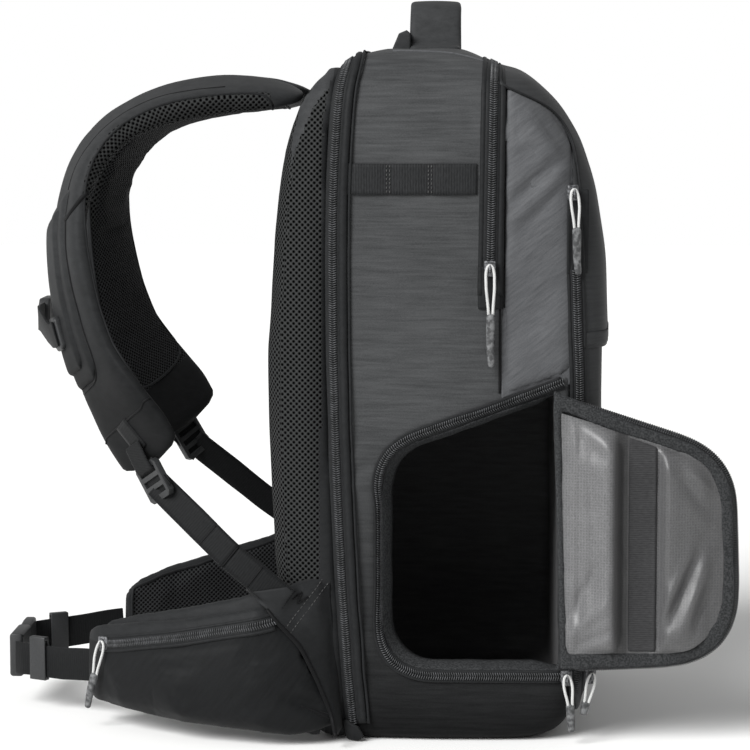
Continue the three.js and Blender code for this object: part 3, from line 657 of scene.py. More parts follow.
def wovenNylon(name, dark, light, streak, relief=0.35, turn=0, base=None):
    # dull yarn in rows: long faint streaks across the bag, a fine grain, and a soft bloom at grazing angles;
    # with base, painted shade lower down
    material, tree, shader = newMaterial(name, 0.62)
    where = objectAt(tree)
    slant = addNode(tree, "ShaderNodeMapping", {"Vector": where, "Rotation": (0, math.radians(turn), 0)})
    rows = addNode(tree, "ShaderNodeMapping", {"Vector": slant.outputs[0], "Scale": streak})
    yarn = noiseAt(tree, rows.outputs[0], 1.0, 4.0, Roughness=0.62)
    grain = noiseAt(tree, where, 1100.0, 2.0)
    cloud = noiseAt(tree, where, 14.0, 3.0)
    grained = maths(tree, "MULTIPLY_ADD", grain, 0.3, maths(tree, "MULTIPLY", yarn, 0.7))
    clouded = maths(tree, "MULTIPLY_ADD", cloud, 0.25, grained)
    colour = blendColours(tree, ranged(tree, clouded, 0.42, 0.82), dark, light)
    if base:
        # painted shade: the cloth is darker and less shiny lower down, where less light falls: from z, to z,
        # the tone at the lower one
        low, high, tone = base
        fade = ranged(tree, axesOf(tree, where)[2], low, high, tone, 1.0)
        shadedLower = addNode(tree, "ShaderNodeVectorMath", {0: colour, "Scale": fade}, operation="SCALE")
        colour = shadedLower.outputs[0]
        tree.links.new(maths(tree, "MULTIPLY", fade, dullGloss), shader.inputs["Specular IOR Level"])
    surfaced(tree, shader, colour, grained, relief, 0.4, sheen=0.03)
    return material


def spacerMesh(name, thread, hole, pitch, radius=0.25, soft=0.14):
    # knitted mesh over foam: round holes in diagonal rows, painted near black and without shine as the shade
    # inside each hole
    material, tree, shader = newMaterial(name, 0.75)
    cell = vectorMaths(tree, "MULTIPLY", uvAt(tree), (1 / (pitch * mm), 1 / (pitch * mm), 0))
    away = []
    for offset in (0.0, 0.5):
        part = vectorMaths(tree, "FRACTION", vectorMaths(tree, "ADD", cell, (offset, offset, 0)))
        away.append(vectorMaths(tree, "LENGTH", vectorMaths(tree, "SUBTRACT", part, (0.5, 0.5, 0))))
    close = maths(tree, "MINIMUM", *away)
    gap = ranged(tree, close, radius - soft, radius + soft, 1.0, 0.0, interpolation_type="SMOOTHSTEP")
    tree.links.new(ranged(tree, gap, 0.0, 1.0, 0.14, 0.0), shader.inputs["Specular IOR Level"])
    surfaced(tree, shader, blendColours(tree, gap, thread, hole), gap, 0.8, 0.7, invert=True)
    return material


def ribbedWebbing(name, dark, light, pitch=2.0):
    # woven webbing: cross ribs along its length (coarser than real so that they show) and a fleck in the yarn
    material, tree, shader = newMaterial(name, 0.62)
    uv = uvAt(tree)
    rib = maths(tree, "SINE", maths(tree, "MULTIPLY", axesOf(tree, uv)[1], 2 * math.pi / (pitch * mm)))
    stretch = addNode(tree, "ShaderNodeMapping", {"Vector": uv, "Scale": (260, 900, 1)})
    height = maths(tree, "MULTIPLY_ADD", rib, 0.16, noiseAt(tree, stretch.outputs[0], 1.0, 3.0))
    colour = blendColours(tree, ranged(tree, height, 0.25, 0.8), dark, light)
    surfaced(tree, shader, colour, height, 0.5, 0.35, sheen=0.05)
    return material


def speckled(name, dark, light, size, rough=0.5, relief=0.3, specular=0.4):
    # a flecked surface: felted yarn, or moulded plastic and paint with a fine spark
    material, tree, shader = newMaterial(name, rough, specular)
    fleck = noiseAt(tree, objectAt(tree), 1 / (size * mm), 3.0)
    colour = blendColours(tree, ranged(tree, fleck, 0.4, 0.62), dark, light)
    surfaced(tree, shader, colour, fleck, relief, 0.15)
    return material


def ripstop(name, dark, light, pitch, shade):
    # thin coated nylon with a raised grid of thicker yarn, shiny enough that its folds show bright
    material, tree, shader = newMaterial(name, 0.4, 0.45)
    where = objectAt(tree)
    cells = vectorMaths(tree, "MULTIPLY", where, (1 / (pitch * mm), 1, 1 / (pitch * mm)))
    split = axesOf(tree, vectorMaths(tree, "FRACTION", cells))
    lines = []
    for axis in (0, 2):
        away = maths(tree, "ABSOLUTE", maths(tree, "SUBTRACT", split[axis], 0.5))
        lines.append(ranged(tree, away, 0.10, 0.22, 1.0, 0.0))
    grain = noiseAt(tree, where, 900.0, 2.0)
    mixed = maths(tree, "MULTIPLY_ADD", maths(tree, "MAXIMUM", *lines), 0.22, grain)
    colour = blendColours(tree, ranged(tree, mixed, 0.35, 1.0), dark, light)
    # painted shade: darker in the fold beside the strip, and beyond it
    low, high = shade[0][0], shade[-1][0]
    place = ranged(tree, axesOf(tree, where)[0], low * mm, high * mm)
    ramp = addNode(tree, "ShaderNodeValToRGB", {0: place})
    stops = ramp.color_ramp.elements
    for k, (x, tone) in enumerate(shade):
        at = (x - low) / (high - low)
        stop = stops[0] if k == 0 else stops[len(stops) - 1] if k == len(shade) - 1 else stops.new(at)
        stop.color = (tone, tone, tone, 1)
    toned = vectorMaths(tree, "MULTIPLY", colour, ramp.outputs[0])
    surfaced(tree, shader, toned, mixed, 0.35, 0.2, sheen=0.1)
    return material


def braidedCord(name, dark, light, pitch=1.6):
    # round braid: slanting yarns that cross, from the UV round and along the cord
    material, tree, shader = newMaterial(name, 0.7)
    parts = axesOf(tree, uvAt(tree))
    waves = []
    for way in ("ADD", "SUBTRACT"):
        slant = maths(tree, way, parts[0], parts[1])
        waves.append(maths(tree, "SINE", maths(tree, "MULTIPLY", slant, 2 * math.pi / (pitch * mm))))
    cross = maths(tree, "MULTIPLY", *waves)
    surfaced(tree, shader, blendColours(tree, ranged(tree, cross, -0.9, 0.5), dark, light), cross, 0.5, 0.3)
    return material


# painted shade on the door lining across it: x, share of the light it gives back
liningPaintedShade = [
    (78, 0.8), (86, 1), (110, 1), (116, 0.8), (120, 0.3), (126, 0.25),
    (129, 0.7), (150, 0.72), (154, 0.6), (170, 0.72), (192, 0.5),
]
fineRows = (120, 120, 260)
cloth = {
    # painted shade: base darkens the shell lower down, towards the floor
    "shell": wovenNylon("woven nylon, charcoal", "2d2e2f", "454647", (26, 26, 420), base=(0.01, 0.24, 0.18)),
    "front": wovenNylon("woven nylon, twill", "404143", "565759", (60, 60, 560), relief=0.45, turn=38),
    "flap": wovenNylon("woven nylon, dense", "262728", "343536", (34, 34, 640), relief=0.25),
    "hip": wovenNylon("woven nylon, hip pocket", "0e0f10", "171819", (60, 60, 480), relief=0.25, turn=52),
    # painted shade: base darkens the strap face's lower end
    "strap": wovenNylon(
        "woven nylon, strap face", "202122", "2d2e2f", fineRows, relief=0.25, base=(0.25, 0.37, 0.4)
    ),
    "gusset": wovenNylon("woven nylon, hip belt", "1b1c1d", "252627", fineRows, relief=0.25),
    "handle": wovenNylon("woven nylon, handle", "28292a", "363738", fineRows, relief=0.25),
    # painted shadow: near-black lines on seams and folds, so that they read as shadow lines
    "seam": wovenNylon("bonded thread, black", "08090a", "111112", (300, 300, 300), relief=0.2),
    "piping": wovenNylon("nylon binding", "161718", "212223", (240, 240, 240), relief=0.3),
    "mesh": spacerMesh("polyester spacer mesh", "303131", "010101", 4.4),
    "innerMesh": spacerMesh("polyester spacer mesh, fine", "2d2e2f", "0b0b0b", 3.6),
    "webbing": ribbedWebbing("nylon webbing", "161718", "272829"),
    "strapWeb": ribbedWebbing("nylon webbing, strap", "0b0c0d", "161718"),
    "doorWeb": ribbedWebbing("nylon tape, grey", "2a2a2b", "3b3b3c", pitch=1.6),
    "tape": wovenNylon("polyester zip tape", "151617", "222324", (700, 700, 700), relief=0.3),
    "coil": speckled("nylon zip coil", "2f3031", "424345", 6.0, rough=0.4, relief=0.05),
    "acetal": speckled("acetal, moulded", "232425", "303132", 0.6, rough=0.42, relief=0.25),
    "metal": speckled(
        "zinc slider, dark paint", "2c2d2e", "66676a", 1.5, rough=0.3, relief=0.1, specular=0.6
    ),
    "lining": wovenNylon("nylon taffeta, black", "3a3a3b", "4c4c4d", (40, 40, 300), relief=0.2),
    "felt": speckled(
        "brushed polyester, heather grey", "242526", "3a3b3c", 1.2, rough=0.9, relief=0.6, specular=0.1
    ),
    "ripstop": ripstop("ripstop nylon, grey", "4e4e4f", "6c6c6d", 2.1, liningPaintedShade),
    "cord": braidedCord("polyester cord, light", "77787a", "e6e6e4"),
    "grip": speckled("rubber grip, grey", "38393a", "68696a", 3.4, rough=0.55, relief=0.2),
    "thread": speckled("polyester thread, grey", "323232", "4c4c4b", 1.0, rough=0.8),
}
print("materials made:", len(cloth))


# Body: the padded cell, its front compartment, front pocket and flap
body = {
    "middle": (-3, 0, 257),
    "reach": (90, 152, 257),
    "slack": [(95, 1.0), (30, 0.35)],
    "voxel": 3.6,
    # the heather edge of the side opening
    "rim": {"y": -142, "x": (-59, 79), "z": (50, 272), "turned": 0.72, "outer": 0.75},
    # folds in the near side: from x, z to x, z, how wide, how far out
    "sideFolds": [
        (-8, 411, 16, 386, 4.0, -1.6),
        (-4, 404, 14, 376, 6.0, 0.9),
        (-74, 396, 2, 398, 3.0, 0.5),
        (-72, 387, -6, 390, 3.5, -0.5),
        (-74, 371, 10, 368, 4.0, 0.45),
        (-72, 340, 12, 343, 5.0, -0.4),
        (-70, 306, 14, 302, 6.0, 0.4),
        (-79, 203, -50, 217, 5.0, -1.8),
        (-80, 190, -56, 198, 5.0, 1.2),
        (-70, 176, -66, 92, 5.0, -1.3),
        (-78, 150, -74, 60, 5.0, 0.8),
        (-80, 74, -52, 46, 5.0, -1.2),
        (-74, 36, -30, 28, 6.0, 0.7),
        (16, 352, 15, 318, 5.0, -1.4),
        (8, 470, 15, 450, 5.0, -1.2),
        (-66, 486, -40, 474, 5.0, -0.8),
    ],
    "frontFolds": [
        (37, 398, 80, 437, 5.0, -4.4),
        (40, 374, 82, 418, 5.0, -1.9),
        (40, 384, 80, 424, 5.0, 2.4),
        (62, 466, 88, 436, 6.0, -4.6),
        (44, 350, 82, 396, 6.0, 1.3),
        (42, 300, 80, 352, 8.0, -1.3),
        (46, 276, 82, 318, 7.0, 1.1),
        (38, 440, 62, 452, 6.0, 1.3),
    ],
}


def outerShare(co, out):
    # 1 on the outside of the body, 0 on its lining
    rel = (co / mm - np.array(body["middle"])) / np.array(body["reach"])
    return np.clip(np.sum(rel * out, 1) / 0.3, 0, 1)


mainShell = eased(copyOf("main_shell", "mainShell"), body["voxel"], 9)
slackened(mainShell, body["slack"], body["sideFolds"], outside=outerShare)
centre, normal = faceArrays(mainShell)
outer = outerShare(centre, normal)
kind = np.where(outer > 0.02, 0, 1)
rim = body["rim"]
atRim = (centre[:, 1] < rim["y"] * mm) & (np.abs(normal[:, 1]) < rim["turned"]) & (outer < rim["outer"])
kind[atRim & between(centre[:, 0], rim["x"]) & between(centre[:, 2], rim["z"])] = 2
paint(mainShell, [cloth["shell"], cloth["lining"], cloth["felt"]], kind)
keep(mainShell, "shell", "main_shell")

frontCompartment = eased(hulled(copyOf("front_compartment", "frontCompartment")), 3.0, 8)
slackened(frontCompartment, body["slack"], body["frontFolds"])
finished(frontCompartment, "front", "shell", "front_compartment")

frontPocket = eased(hulled(copyOf("front_pocket", "frontPocket")), 3.2, 8)
slackened(frontPocket, [(80, 1.2), (26, 0.4)])
finished(frontPocket, "flap", "shell", "front_pocket")

bodyTree = treeOf(mainShell, frontCompartment, frontPocket)

# The flap: one sheet over the front, fanned from its sewn edge so that the edge is a clean curve
flapSheet = {
    "edge": [
        (95, 295), (94.5, 340), (93.5, 380), (92.4, 411), (90.5, 438),
        (87, 455), (79, 467.5), (68, 476.5), (54, 482.5), (33, 487.5),
    ],
    "cells": (70, 116),
    "rays": 241,
    "lift": 1.6,
    "thick": 1.8,
    "bead": 1.0,
    "hem": (9, 0.8),
    "sewn": 0.22,
    "dive": 6,
    # by share of the height: each hoop's slope, how far inside its middle lies, how free its sewn edge is
    "slope": [(0, 0), (0.45, 16), (0.75, 46), (1, 90)],
    "deep": [(0.4, 0), (0.7, 60), (1, 120)],
    "free": [(0, 0.6), (0.25, 0.4), (0.45, 0)],
}
rawFlap = eased(copyOf("front_flap", "rawFlap"), 1.9, 6)
flapTree = treeOf(mainShell, frontCompartment, frontPocket, rawFlap)
bpy.data.objects.remove(rawFlap)
edge = picked(spaced(drawnLine(flapSheet["edge"], 2, 12), 1 * mm), flapSheet["cells"][0])
share = np.linspace(0, 1, len(edge))
slope = np.radians(fromTable(share, flapSheet["slope"], step=1))


def reachOf(tree, middle, way):
    # how far out along a ray the cloth lies, or nan where there is none
    hit = tree.ray_cast(Vector(middle + 0.4 * way), Vector(-way))[0]
    return math.nan if hit is None else (np.array(hit) - middle) @ way


def filled(values):
    # takes what is missing from the values beside it
    there = ~np.isnan(values)
    return np.interp(np.arange(len(values)), np.flatnonzero(there), values[there])


sides = filled(np.array([reachOf(flapTree, np.array([x, 0, z]), -acrossWay) for x, z in edge]))
sides = softLine(np.c_[share, sides], 10)[:, 1]
spread = np.linspace(-1, 1, flapSheet["rays"])
fromSeam = np.sin(np.clip((1 - np.abs(spread)) / flapSheet["sewn"], 0, 1) * math.pi / 2)
grid = []
for (x, z), rise, at, side in zip(edge, slope, share, sides):
    lean = np.array([math.cos(rise), 0, math.sin(rise)])
    deep = fromTable(at, flapSheet["deep"], mm, step=1)
    middle = np.array([x, 0, z]) - deep * lean
    turns = spread * math.atan2(side, deep)
    rays = np.cos(turns)[:, None] * lean + np.sin(turns)[:, None] * acrossWay
    over = filled(np.array([reachOf(flapTree, middle, way) for way in rays]))
    under = np.array([reachOf(bodyTree, middle, way) for way in rays])
    under = np.where(np.isnan(under), over - flapSheet["dive"] * mm, under)
    free = np.maximum(fromSeam, fromTable(at, flapSheet["free"], step=1))
    reach = over - np.clip(over - under, 0, flapSheet["dive"] * mm) * (1 - free)
    row = spaced(np.c_[middle + rays * reach[:, None], rays], 1 * mm)
    grid.append(picked(row, flapSheet["cells"][1]))
grid, ways = np.array(grid)[..., :3], unit(np.array(grid)[..., 3:])
evened(grid, 10)
for j, i in np.ndindex(*grid.shape[:2]):
    # never under the cloth it lies on
    hit = bodyTree.ray_cast(Vector(grid[j, i] + 0.03 * ways[j, i]), Vector(-ways[j, i]))[0]
    if hit is not None:
        short = flapSheet["lift"] * mm - (grid[j, i] - np.array(hit)) @ ways[j, i]
        grid[j, i] += max(0, short) * ways[j, i]
evened(grid, 2)
frontFlap = sheetOf("frontFlap", grid, (1, 0, 0))
slackened(frontFlap, [(110, 0.6), (34, 0.25)])
finished(thickened(frontFlap, flapSheet["thick"]), "flap", "shell", "front_flap")
flapTree = treeOf(mainShell, frontCompartment, frontPocket, frontFlap)
border = np.r_[grid[:, 0], grid[-1, 1:-1], grid[::-1, -1]]
border = softLine(spaced(border, 3 * mm), 3)
bead = sweep("flapBead", border, unit(border - np.array([0.02, 0, 0.38])), circle(flapSheet["bead"]))
finished(bead, "piping", "shell")
hemLine = grid[1] + (grid[1] - grid[0]) * 1.2 + np.array([0.4 * mm, 0, 0])
finished(sweep("flapHem", hemLine, (1, 0, 0), flatProfile(*flapSheet["hem"])), "flap", "shell")

# Gussets: cloth from the flap's border to the compartment
flapGusset = {
    "low": 412,
    "from": 44,
    "wide": 36,
    "towards": (45, 400),
    # how far inside the flap's border it starts: height, mm
    "under": [(440, 6), (475, 2.2)],
    "cells": 16,
    "flushRows": 9,
    "flush": (6, 20),
    "thick": 0.8,
}
for side, hand in hands:
    border = grid[:, 0 if side < 0 else -1]
    edge = border[(border[:, 2] > flapGusset["low"] * mm) & (border[:, 0] > flapGusset["from"] * mm)]
    edge = spaced(edge, 4 * mm)
    flat = edge[:, [0, 2]]
    inner = inwardWays(flat, np.array(flapGusset["towards"]) * mm)
    t = np.linspace(0, 1, flapGusset["cells"])
    sheet = []
    for j, (at, way) in enumerate(zip(flat, inner)):
        places = at + t[:, None] * way * flapGusset["wide"] * mm
        cloths = np.array([reachOf(bodyTree, np.array([x, 0, z]), side * acrossWay) for x, z in places])
        high = abs(edge[j, 1]) - fromTable(edge[j, 2], flapGusset["under"], mm)
        last = cloths[-1] - 0.6 * mm
        fall = cloths[-1] - cloths[-3] if not np.isnan(cloths[-3]) else 0
        fall = np.clip(fall / (t[-1] - t[-3]), -0.03, 0.03)
        curve = high * (1 - smoothStep(t)) + last * smoothStep(t) + fall * (t**3 - t**2)
        curve[:-2] = np.fmax(curve, cloths + 0.5 * mm)[:-2]
        fade = smoothStep(j / flapGusset["flushRows"])
        curve = np.where(np.isnan(cloths), curve, (cloths - 0.8 * mm) * (1 - fade) + curve * fade)
        sheet.append(np.c_[places[:, 0], side * curve, places[:, 1]])
    gusset = sheetOf("flapGusset" + hand, evened(np.array(sheet), 4), (0, side, 0))
    co = points(gusset)
    slackened(gusset, [(30, 0.8)], body["frontFolds"], side=side)
    above, over = flapGusset["flush"]  # flush with the cloth at its lower end
    part = np.clip((co[:, 2] / mm - flapGusset["low"] - above) / over, 0, 1)[:, None]
    setPoints(gusset, co + (points(gusset) - co) * part)
    finished(thickened(gusset, flapGusset["thick"]), "front", "shell")
print("body made")

# Padded back: spacer mesh with a plain cloth edge
backPad = {
    "voxel": 5.0,
    # how wide the cloth edge is on the sides, by height
    "edge": [(0, 8), (400, 8), (440, 10), (470, 15), (490, 22)],
    "rearEdge": 12,
    # from here on to the zip it is plain cloth: height, x
    "frontEdge": [(0, -96), (110, -100), (250, -98.5), (420, -98.5), (470, -96), (500, -90)],
    "cap": 9,
    "z": (2, 501),
    "sewn": -96,
    # its foot is drawn down: how far, from which height, over what height
    "low": (13, 9, 60),
    "clear": 1.5,
}
backPanel = eased(copyOf("back_panel", "backPanel"), backPad["voxel"], 4)
co = points(backPanel)
drop, foot, over = backPad["low"]
co[:, 2] -= drop * mm * np.clip(1 - (co[:, 2] - foot * mm) / (over * mm), 0, 1) ** 2
co[:, 2] = np.maximum(co[:, 2], backPad["clear"] * mm)
setPoints(backPanel, co)
slackened(backPanel, [(70, 0.8), (24, 0.3)], side=0)
puffed(backPanel, points(backPanel)[:, 0] > backPad["sewn"] * mm, 3.0, 2.5)
refined(backPanel)
centre, _ = faceArrays(backPanel)
height, (low, high) = centre[:, 2], backPad["z"]
levels = np.linspace((low + 2) * mm, high * mm, 60)
slabs = [centre[np.abs(height - z) < 8 * mm] for z in levels]
behind = centre[:, 0] - np.interp(height, levels, [slab[:, 0].min() for slab in slabs])
inFromSide = np.interp(height, levels, [np.abs(slab[:, 1]).max() for slab in slabs]) - np.abs(centre[:, 1])
corner = (behind < fromTable(height, backPad["edge"], mm)) & (inFromSide < backPad["rearEdge"] * mm)
ends = ~between(height, (low + backPad["cap"], high - backPad["cap"]))
besideZip = centre[:, 0] > fromTable(height, backPad["frontEdge"], mm)
kind = np.where(besideZip, 2, np.where(corner | ends, 1, 0))
paint(backPanel, [cloth["mesh"], cloth["handle"], cloth["gusset"]], kind)
keep(boxUv(backPanel), "air_mesh", "back_panel")
print("back made")

# Zips: tape, a coil of ribs, and rolled cloth edges beside it
zipSizes = {
    "pitch": 1.7,
    "rib": (5.8, 1.1, 1.5),
    "slant": 0.3,
    "tape": (11, 1.0),
    "tapeUp": 0.4,
    "coilUp": 1.3,
}


def ribShape():
    # one tooth of the coil as two slanted halves, modelled once
    wide, long, tall = (s * mm for s in zipSizes["rib"])
    halves = []
    for side in (-1, 1):
        bpy.ops.mesh.primitive_cube_add(size=1)
        half = bpy.context.active_object
        half.data.transform(Matrix.Diagonal((wide / 2, long, tall, 1)))
        for v in half.data.vertices:
            v.co.x += side * wide / 4
            v.co.y += abs(v.co.x) * zipSizes["slant"]
            if v.co.z > 0:
                v.co.y -= math.copysign(long * 0.22, v.co.y - abs(v.co.x) * zipSizes["slant"])
        halves.append(half)
    return takenShape(joined("rib", halves))


ribPoints, ribFaces = ribShape()


def coilAlong(name, line, out, lift):
    # a row of ribs across the zip, coarser than real so that they show
    return copiesAlong(name, ribPoints + np.array([0, 0, lift * mm]), ribFaces, line, out, zipSizes["pitch"])


def zipAlong(name, line, out, node, rolls=(), tapeWide=None, lift=0.0, teeth=(0, 600)):
    wide, thick = zipSizes["tape"]
    profile = flatProfile(tapeWide or wide, thick)
    tape = sweep(name + "Tape", line + out * (zipSizes["tapeUp"] + lift) * mm, out, profile)
    finished(tape, "tape", "zip", node)
    bare = between(line[:, 2], teeth)
    finished(coilAlong(name + "Coil", line[bare], out[bare], zipSizes["coilUp"] + lift), "coil", "zip")
    made = [
        sweep(name + "Roll", shifted(line, out, sideways, -sink), out, circle(radius, 10))
        for sideways, radius, sink in rolls
    ]
    if made:
        finished(joined(name + "Rolls", made), "piping", "shell")


backZip = {
    "line": [
        (4, -69), (18, -71), (50, -74), (120, -79), (205, -83.5), (290, -86), (360, -86.5),
        (410, -86), (445, -84.5), (470, -83), (490, -80.5), (500, -77), (509, -74),
    ],
    "low": 5,
    # back over the seam: height, mm
    "back": [(0, 4.5), (100, 4.0), (250, 3.2)],
    "rolls": [(7.4, 3.4, 1.2), (12.2, 1.0, 0.2)],
}
line, out = hoopLine(bodyTree, backZip["line"], backZip["low"])
line[:, 0] -= fromTable(line[:, 2], backZip["back"], mm)
zipAlong("backZip", line, out, "back_zip", rolls=backZip["rolls"])

frontZip = {"line": [(332, 25.5), (540, 28.5)], "low": 333, "rolls": [(-7.0, 2.2, 0.8), (7.0, 2.4, 0.8)]}
line, out = hoopLine(bodyTree, frontZip["line"], frontZip["low"])
zipAlong("frontZip", line, out, "front_zip", rolls=frontZip["rolls"], teeth=(355, 600))

pocketZip = {
    "line": [(91.5, 24), (91.5, 264), (88.5, 345), (85.5, 407)],
    "rolls": [(5.4, 1.6, 0.6), (-5.4, 1.6, 0.6)],
}
line, out = sideLine(bodyTree, pocketZip["line"], rounds=6)
zipAlong("pocketZip", line, out, "pocket_zip", rolls=pocketZip["rolls"], tapeWide=8, teeth=(0, 352))

# The side opening's zip follows its edge
opening = {
    "corners": [(79, 50.5), (-57.5, 50.5), (-57.5, 221), (79, 270)],
    "radii": [0, 44, 46, 0],
}
edge = roundedCorners(opening["corners"], opening["radii"])
line, out = sideLine(bodyTree, edge, step=3, rounds=4)
zipAlong("openingZip", line, out, "opening_zip", tapeWide=9, lift=0.6)
print("zips made")


# Side webbing with its stitched columns
def patchOn(tree, name, xs, span, rows, lift, side=-1, upright=False):
    # a strip of cloth laid on the side as a grid; span gives the lowest and highest z at each x
    grid, uvs = np.zeros((rows, len(xs), 3)), []
    for j, share in enumerate(np.linspace(0, 1, rows)):
        for i, x in enumerate(xs):
            low, high = span(x)
            z = low + (high - low) * share
            hit, up = castSide(tree, x * mm, z * mm, side)
            grid[j, i] = hit + up * lift * mm
            uvs.append((x * mm, z * mm) if upright else (z * mm, x * mm))
    return sheetOf(name, grid, (0, side, 0), uvs)


def stitchesAlong(name, line, out, pitch, long, radius):
    # short rounded stitches, one shape copied along a seam
    bpy.ops.mesh.primitive_cylinder_add(vertices=6, radius=radius * mm, depth=long * mm)
    rod, faces = takenShape(bpy.context.active_object)
    return copiesAlong(name, rod[:, [0, 2, 1]], faces, line, out, pitch)


sideWeb = {
    "x": (-79, 16),
    "z": (407.5, 430),
    "lift": 1.3,
    "thick": 1.5,
    # the loops between the stitched columns stand off a little
    "loop": (0.9, 9),
    "stitchX": (-49, -18.4),
    "stitch": (2.9, 1.7, 0.42),
}
for side, hand in hands:
    xs = np.linspace(*sideWeb["x"], 40)
    strip = patchOn(bodyTree, "sideWebbing" + hand, xs, lambda x: sideWeb["z"], 9, sideWeb["lift"], side)
    at = points(strip)[:, 0] / mm
    held = np.min([np.abs(at - x) for x in (*sideWeb["stitchX"], *sideWeb["x"])], axis=0)
    off, over = sideWeb["loop"]
    nudged(strip, 1, lambda co: side * off * mm * np.clip(held / over, 0, 1))
    thickened(strip, sideWeb["thick"])
    finished(strip, "webbing", "webbing", "side_webbing_" + hand.lower())
    columns = []
    for x in sideWeb["stitchX"]:
        for nudge in (-1.2, 1.2):
            run = [(x + nudge, z) for z in np.linspace(sideWeb["z"][0] + 2, sideWeb["z"][1] - 2, 8)]
            line, out = sideLine(treeOf(strip), run, step=2, rounds=0, side=side)
            columns.append(stitchesAlong("stitch", line + out * 0.3 * mm, out, *sideWeb["stitch"]))
    finished(joined("sideStitches" + hand, columns), "thread", "cord")

# The compartment's side runs on down: along the opening on the door's side, level on the other
lowerSide = {
    "x": {-1: (33, 96), 1: (33, 84.5)},
    # lowest z: at x -60, rise with x, and a step down past the opening's corner
    "opening": (223, 0.3547),
    "corner": (78, 7),
    "level": 256,
    "high": 326,
    "lift": {-1: 0.6, 1: 1.2},
    "sunk": (22, 1.6),
    "least": 147,
    "thick": 0.9,
    "seam": {-1: [(33, 340), (33, 262)], 1: [(33, 340), (33, 270), (34, 256.5), (46, 256.5), (86, 256.5)]},
}
# dark hoods where the zips end, and hems on the top
hoods = {"front": {"x": (16, 36), "z": (323, 356)}, "pocket": {"x": (81, 97), "z": (348, 413)}}
topHem = {"x": (-47, 24), "y": 108, "radius": 1.1}


def laidOn(name, xs, span, rows, lift, side, material, soften=4, sunk=False):
    patch = patchOn(bodyTree, name, xs, span, rows, lift, side)
    # straight across the gaps under it
    co = points(patch)
    co[:, 1] = side * np.maximum(side * co[:, 1], lowerSide["least"] * mm)
    setPoints(patch, co)
    applied(patch, "SMOOTH", factor=0.5, iterations=soften)
    if sunk:
        # its top edge goes under the cloth above
        over, deep = (s * mm for s in lowerSide["sunk"])
        top = span(0)[1] * mm
        nudged(patch, 1, lambda co: -side * deep * np.clip(1 - (top - co[:, 2]) / over, 0, 1))
    return finished(thickened(patch, lowerSide["thick"]), material, "shell")


def besideOpening(x):
    start, rise = lowerSide["opening"]
    past, drop = lowerSide["corner"]
    return start + rise * (x + 60) - drop * (x > past), lowerSide["high"]


def levelSpan(x):
    return lowerSide["level"], lowerSide["high"]


seams = []
for side, hand in hands:
    xs = np.linspace(*lowerSide["x"][side], 26)
    span = besideOpening if side < 0 else levelSpan
    laidOn("compartmentSide" + hand, xs, span, 30, lowerSide["lift"][side], side, "front", 8, sunk=True)
    line, out = sideLine(bodyTree, lowerSide["seam"][side], rounds=4, side=side)
    seams.append(sweep("compartmentSeam", line, out, circle(0.9)))
for name, hood in hoods.items():
    laidOn(name + "ZipHood", np.linspace(*hood["x"], 9), lambda x: hood["z"], 12, 1.5, -1, "piping")
# the compartment seam, painted near black as a shadow line
finished(joined("compartmentSeam", seams), "seam", "shell")
hems = []
for side in (-1, 1):
    starts = [(x * mm, side * topHem["y"] * mm, 0.7) for x in np.linspace(*topHem["x"], 24)]
    line, out = softHits([cast(bodyTree, start, (0, 0, -1)) for start in starts], 4, more=0)
    hems.append(sweep("topHem", line, out, circle(topHem["radius"])))
finished(joined("topHems", hems), "front", "shell")
print("side webbing made")


# Slices along a soft piece: its middle, and its width, face and length ways
def sliceFrames(piece, guide, outward, reach=5, wide=60):
    co = points(piece)
    line = drawnLine(guide, 5, 6)
    along = tangents(line)
    middles, widths = [], []
    for at, way in zip(line, along):
        rel = co - at
        near = rel[(np.abs(rel @ way) < reach * mm) & (np.linalg.norm(rel, axis=1) < wide * mm)]
        flat = near - np.outer(near @ way, way)
        middle = (flat.min(0) + flat.max(0)) / 2
        width = np.linalg.eigh(np.cov((flat - flat.mean(0)).T))[1][:, 2]
        if widths and width @ widths[-1] < 0:
            width = -width
        middles.append(at + middle)
        widths.append(width)
    middles, widths = softLine(middles, 5), unit(softLine(widths, 8))
    along = tangents(middles)
    face = unit(np.cross(along, widths))
    face *= np.sign(np.sum(face * (middles - np.asarray(outward) * mm), 1).mean())
    widths = unit(np.cross(face, along))
    return {"middle": middles, "along": along, "width": widths, "face": face, "run": runAlong(middles)}


def localIn(slices, co):
    # (out of the face, across, along) of each point
    gone = ((co[:, None] - slices["middle"][None]) ** 2).sum(2)
    i = gone.argmin(1)
    rel = co - slices["middle"][i]
    parts = [np.sum(rel * slices[key][i], 1) for key in ("face", "width", "along")]
    return np.stack([parts[0], parts[1], parts[2] + slices["run"][i]], 1), i


def turnedIn(slices, centre, normal):
    i = localIn(slices, centre)[1]
    return np.stack([np.sum(normal * slices[key][i], 1) for key in ("face", "width", "along")], 1)


def atRun(slices, rows, run):
    # rows given at each slice, read at distances along them
    return np.stack([np.interp(run, slices["run"], column) for column in rows.T], -1)


def onStrap(slices, tree, run, across):
    # a point on the strap's face, by distance along it and across it
    width, face = (unit(atRun(slices, slices[key], run)) for key in ("width", "face"))
    return cast(tree, atRun(slices, slices["middle"], run) + width * across + face * 0.05, -face)


def strapLine(slices, tree, rows):
    # a line drawn on the strap as (along, across) in mm
    return softHits([onStrap(slices, tree, run, across) for run, across in drawnLine(rows, 4)], 3)


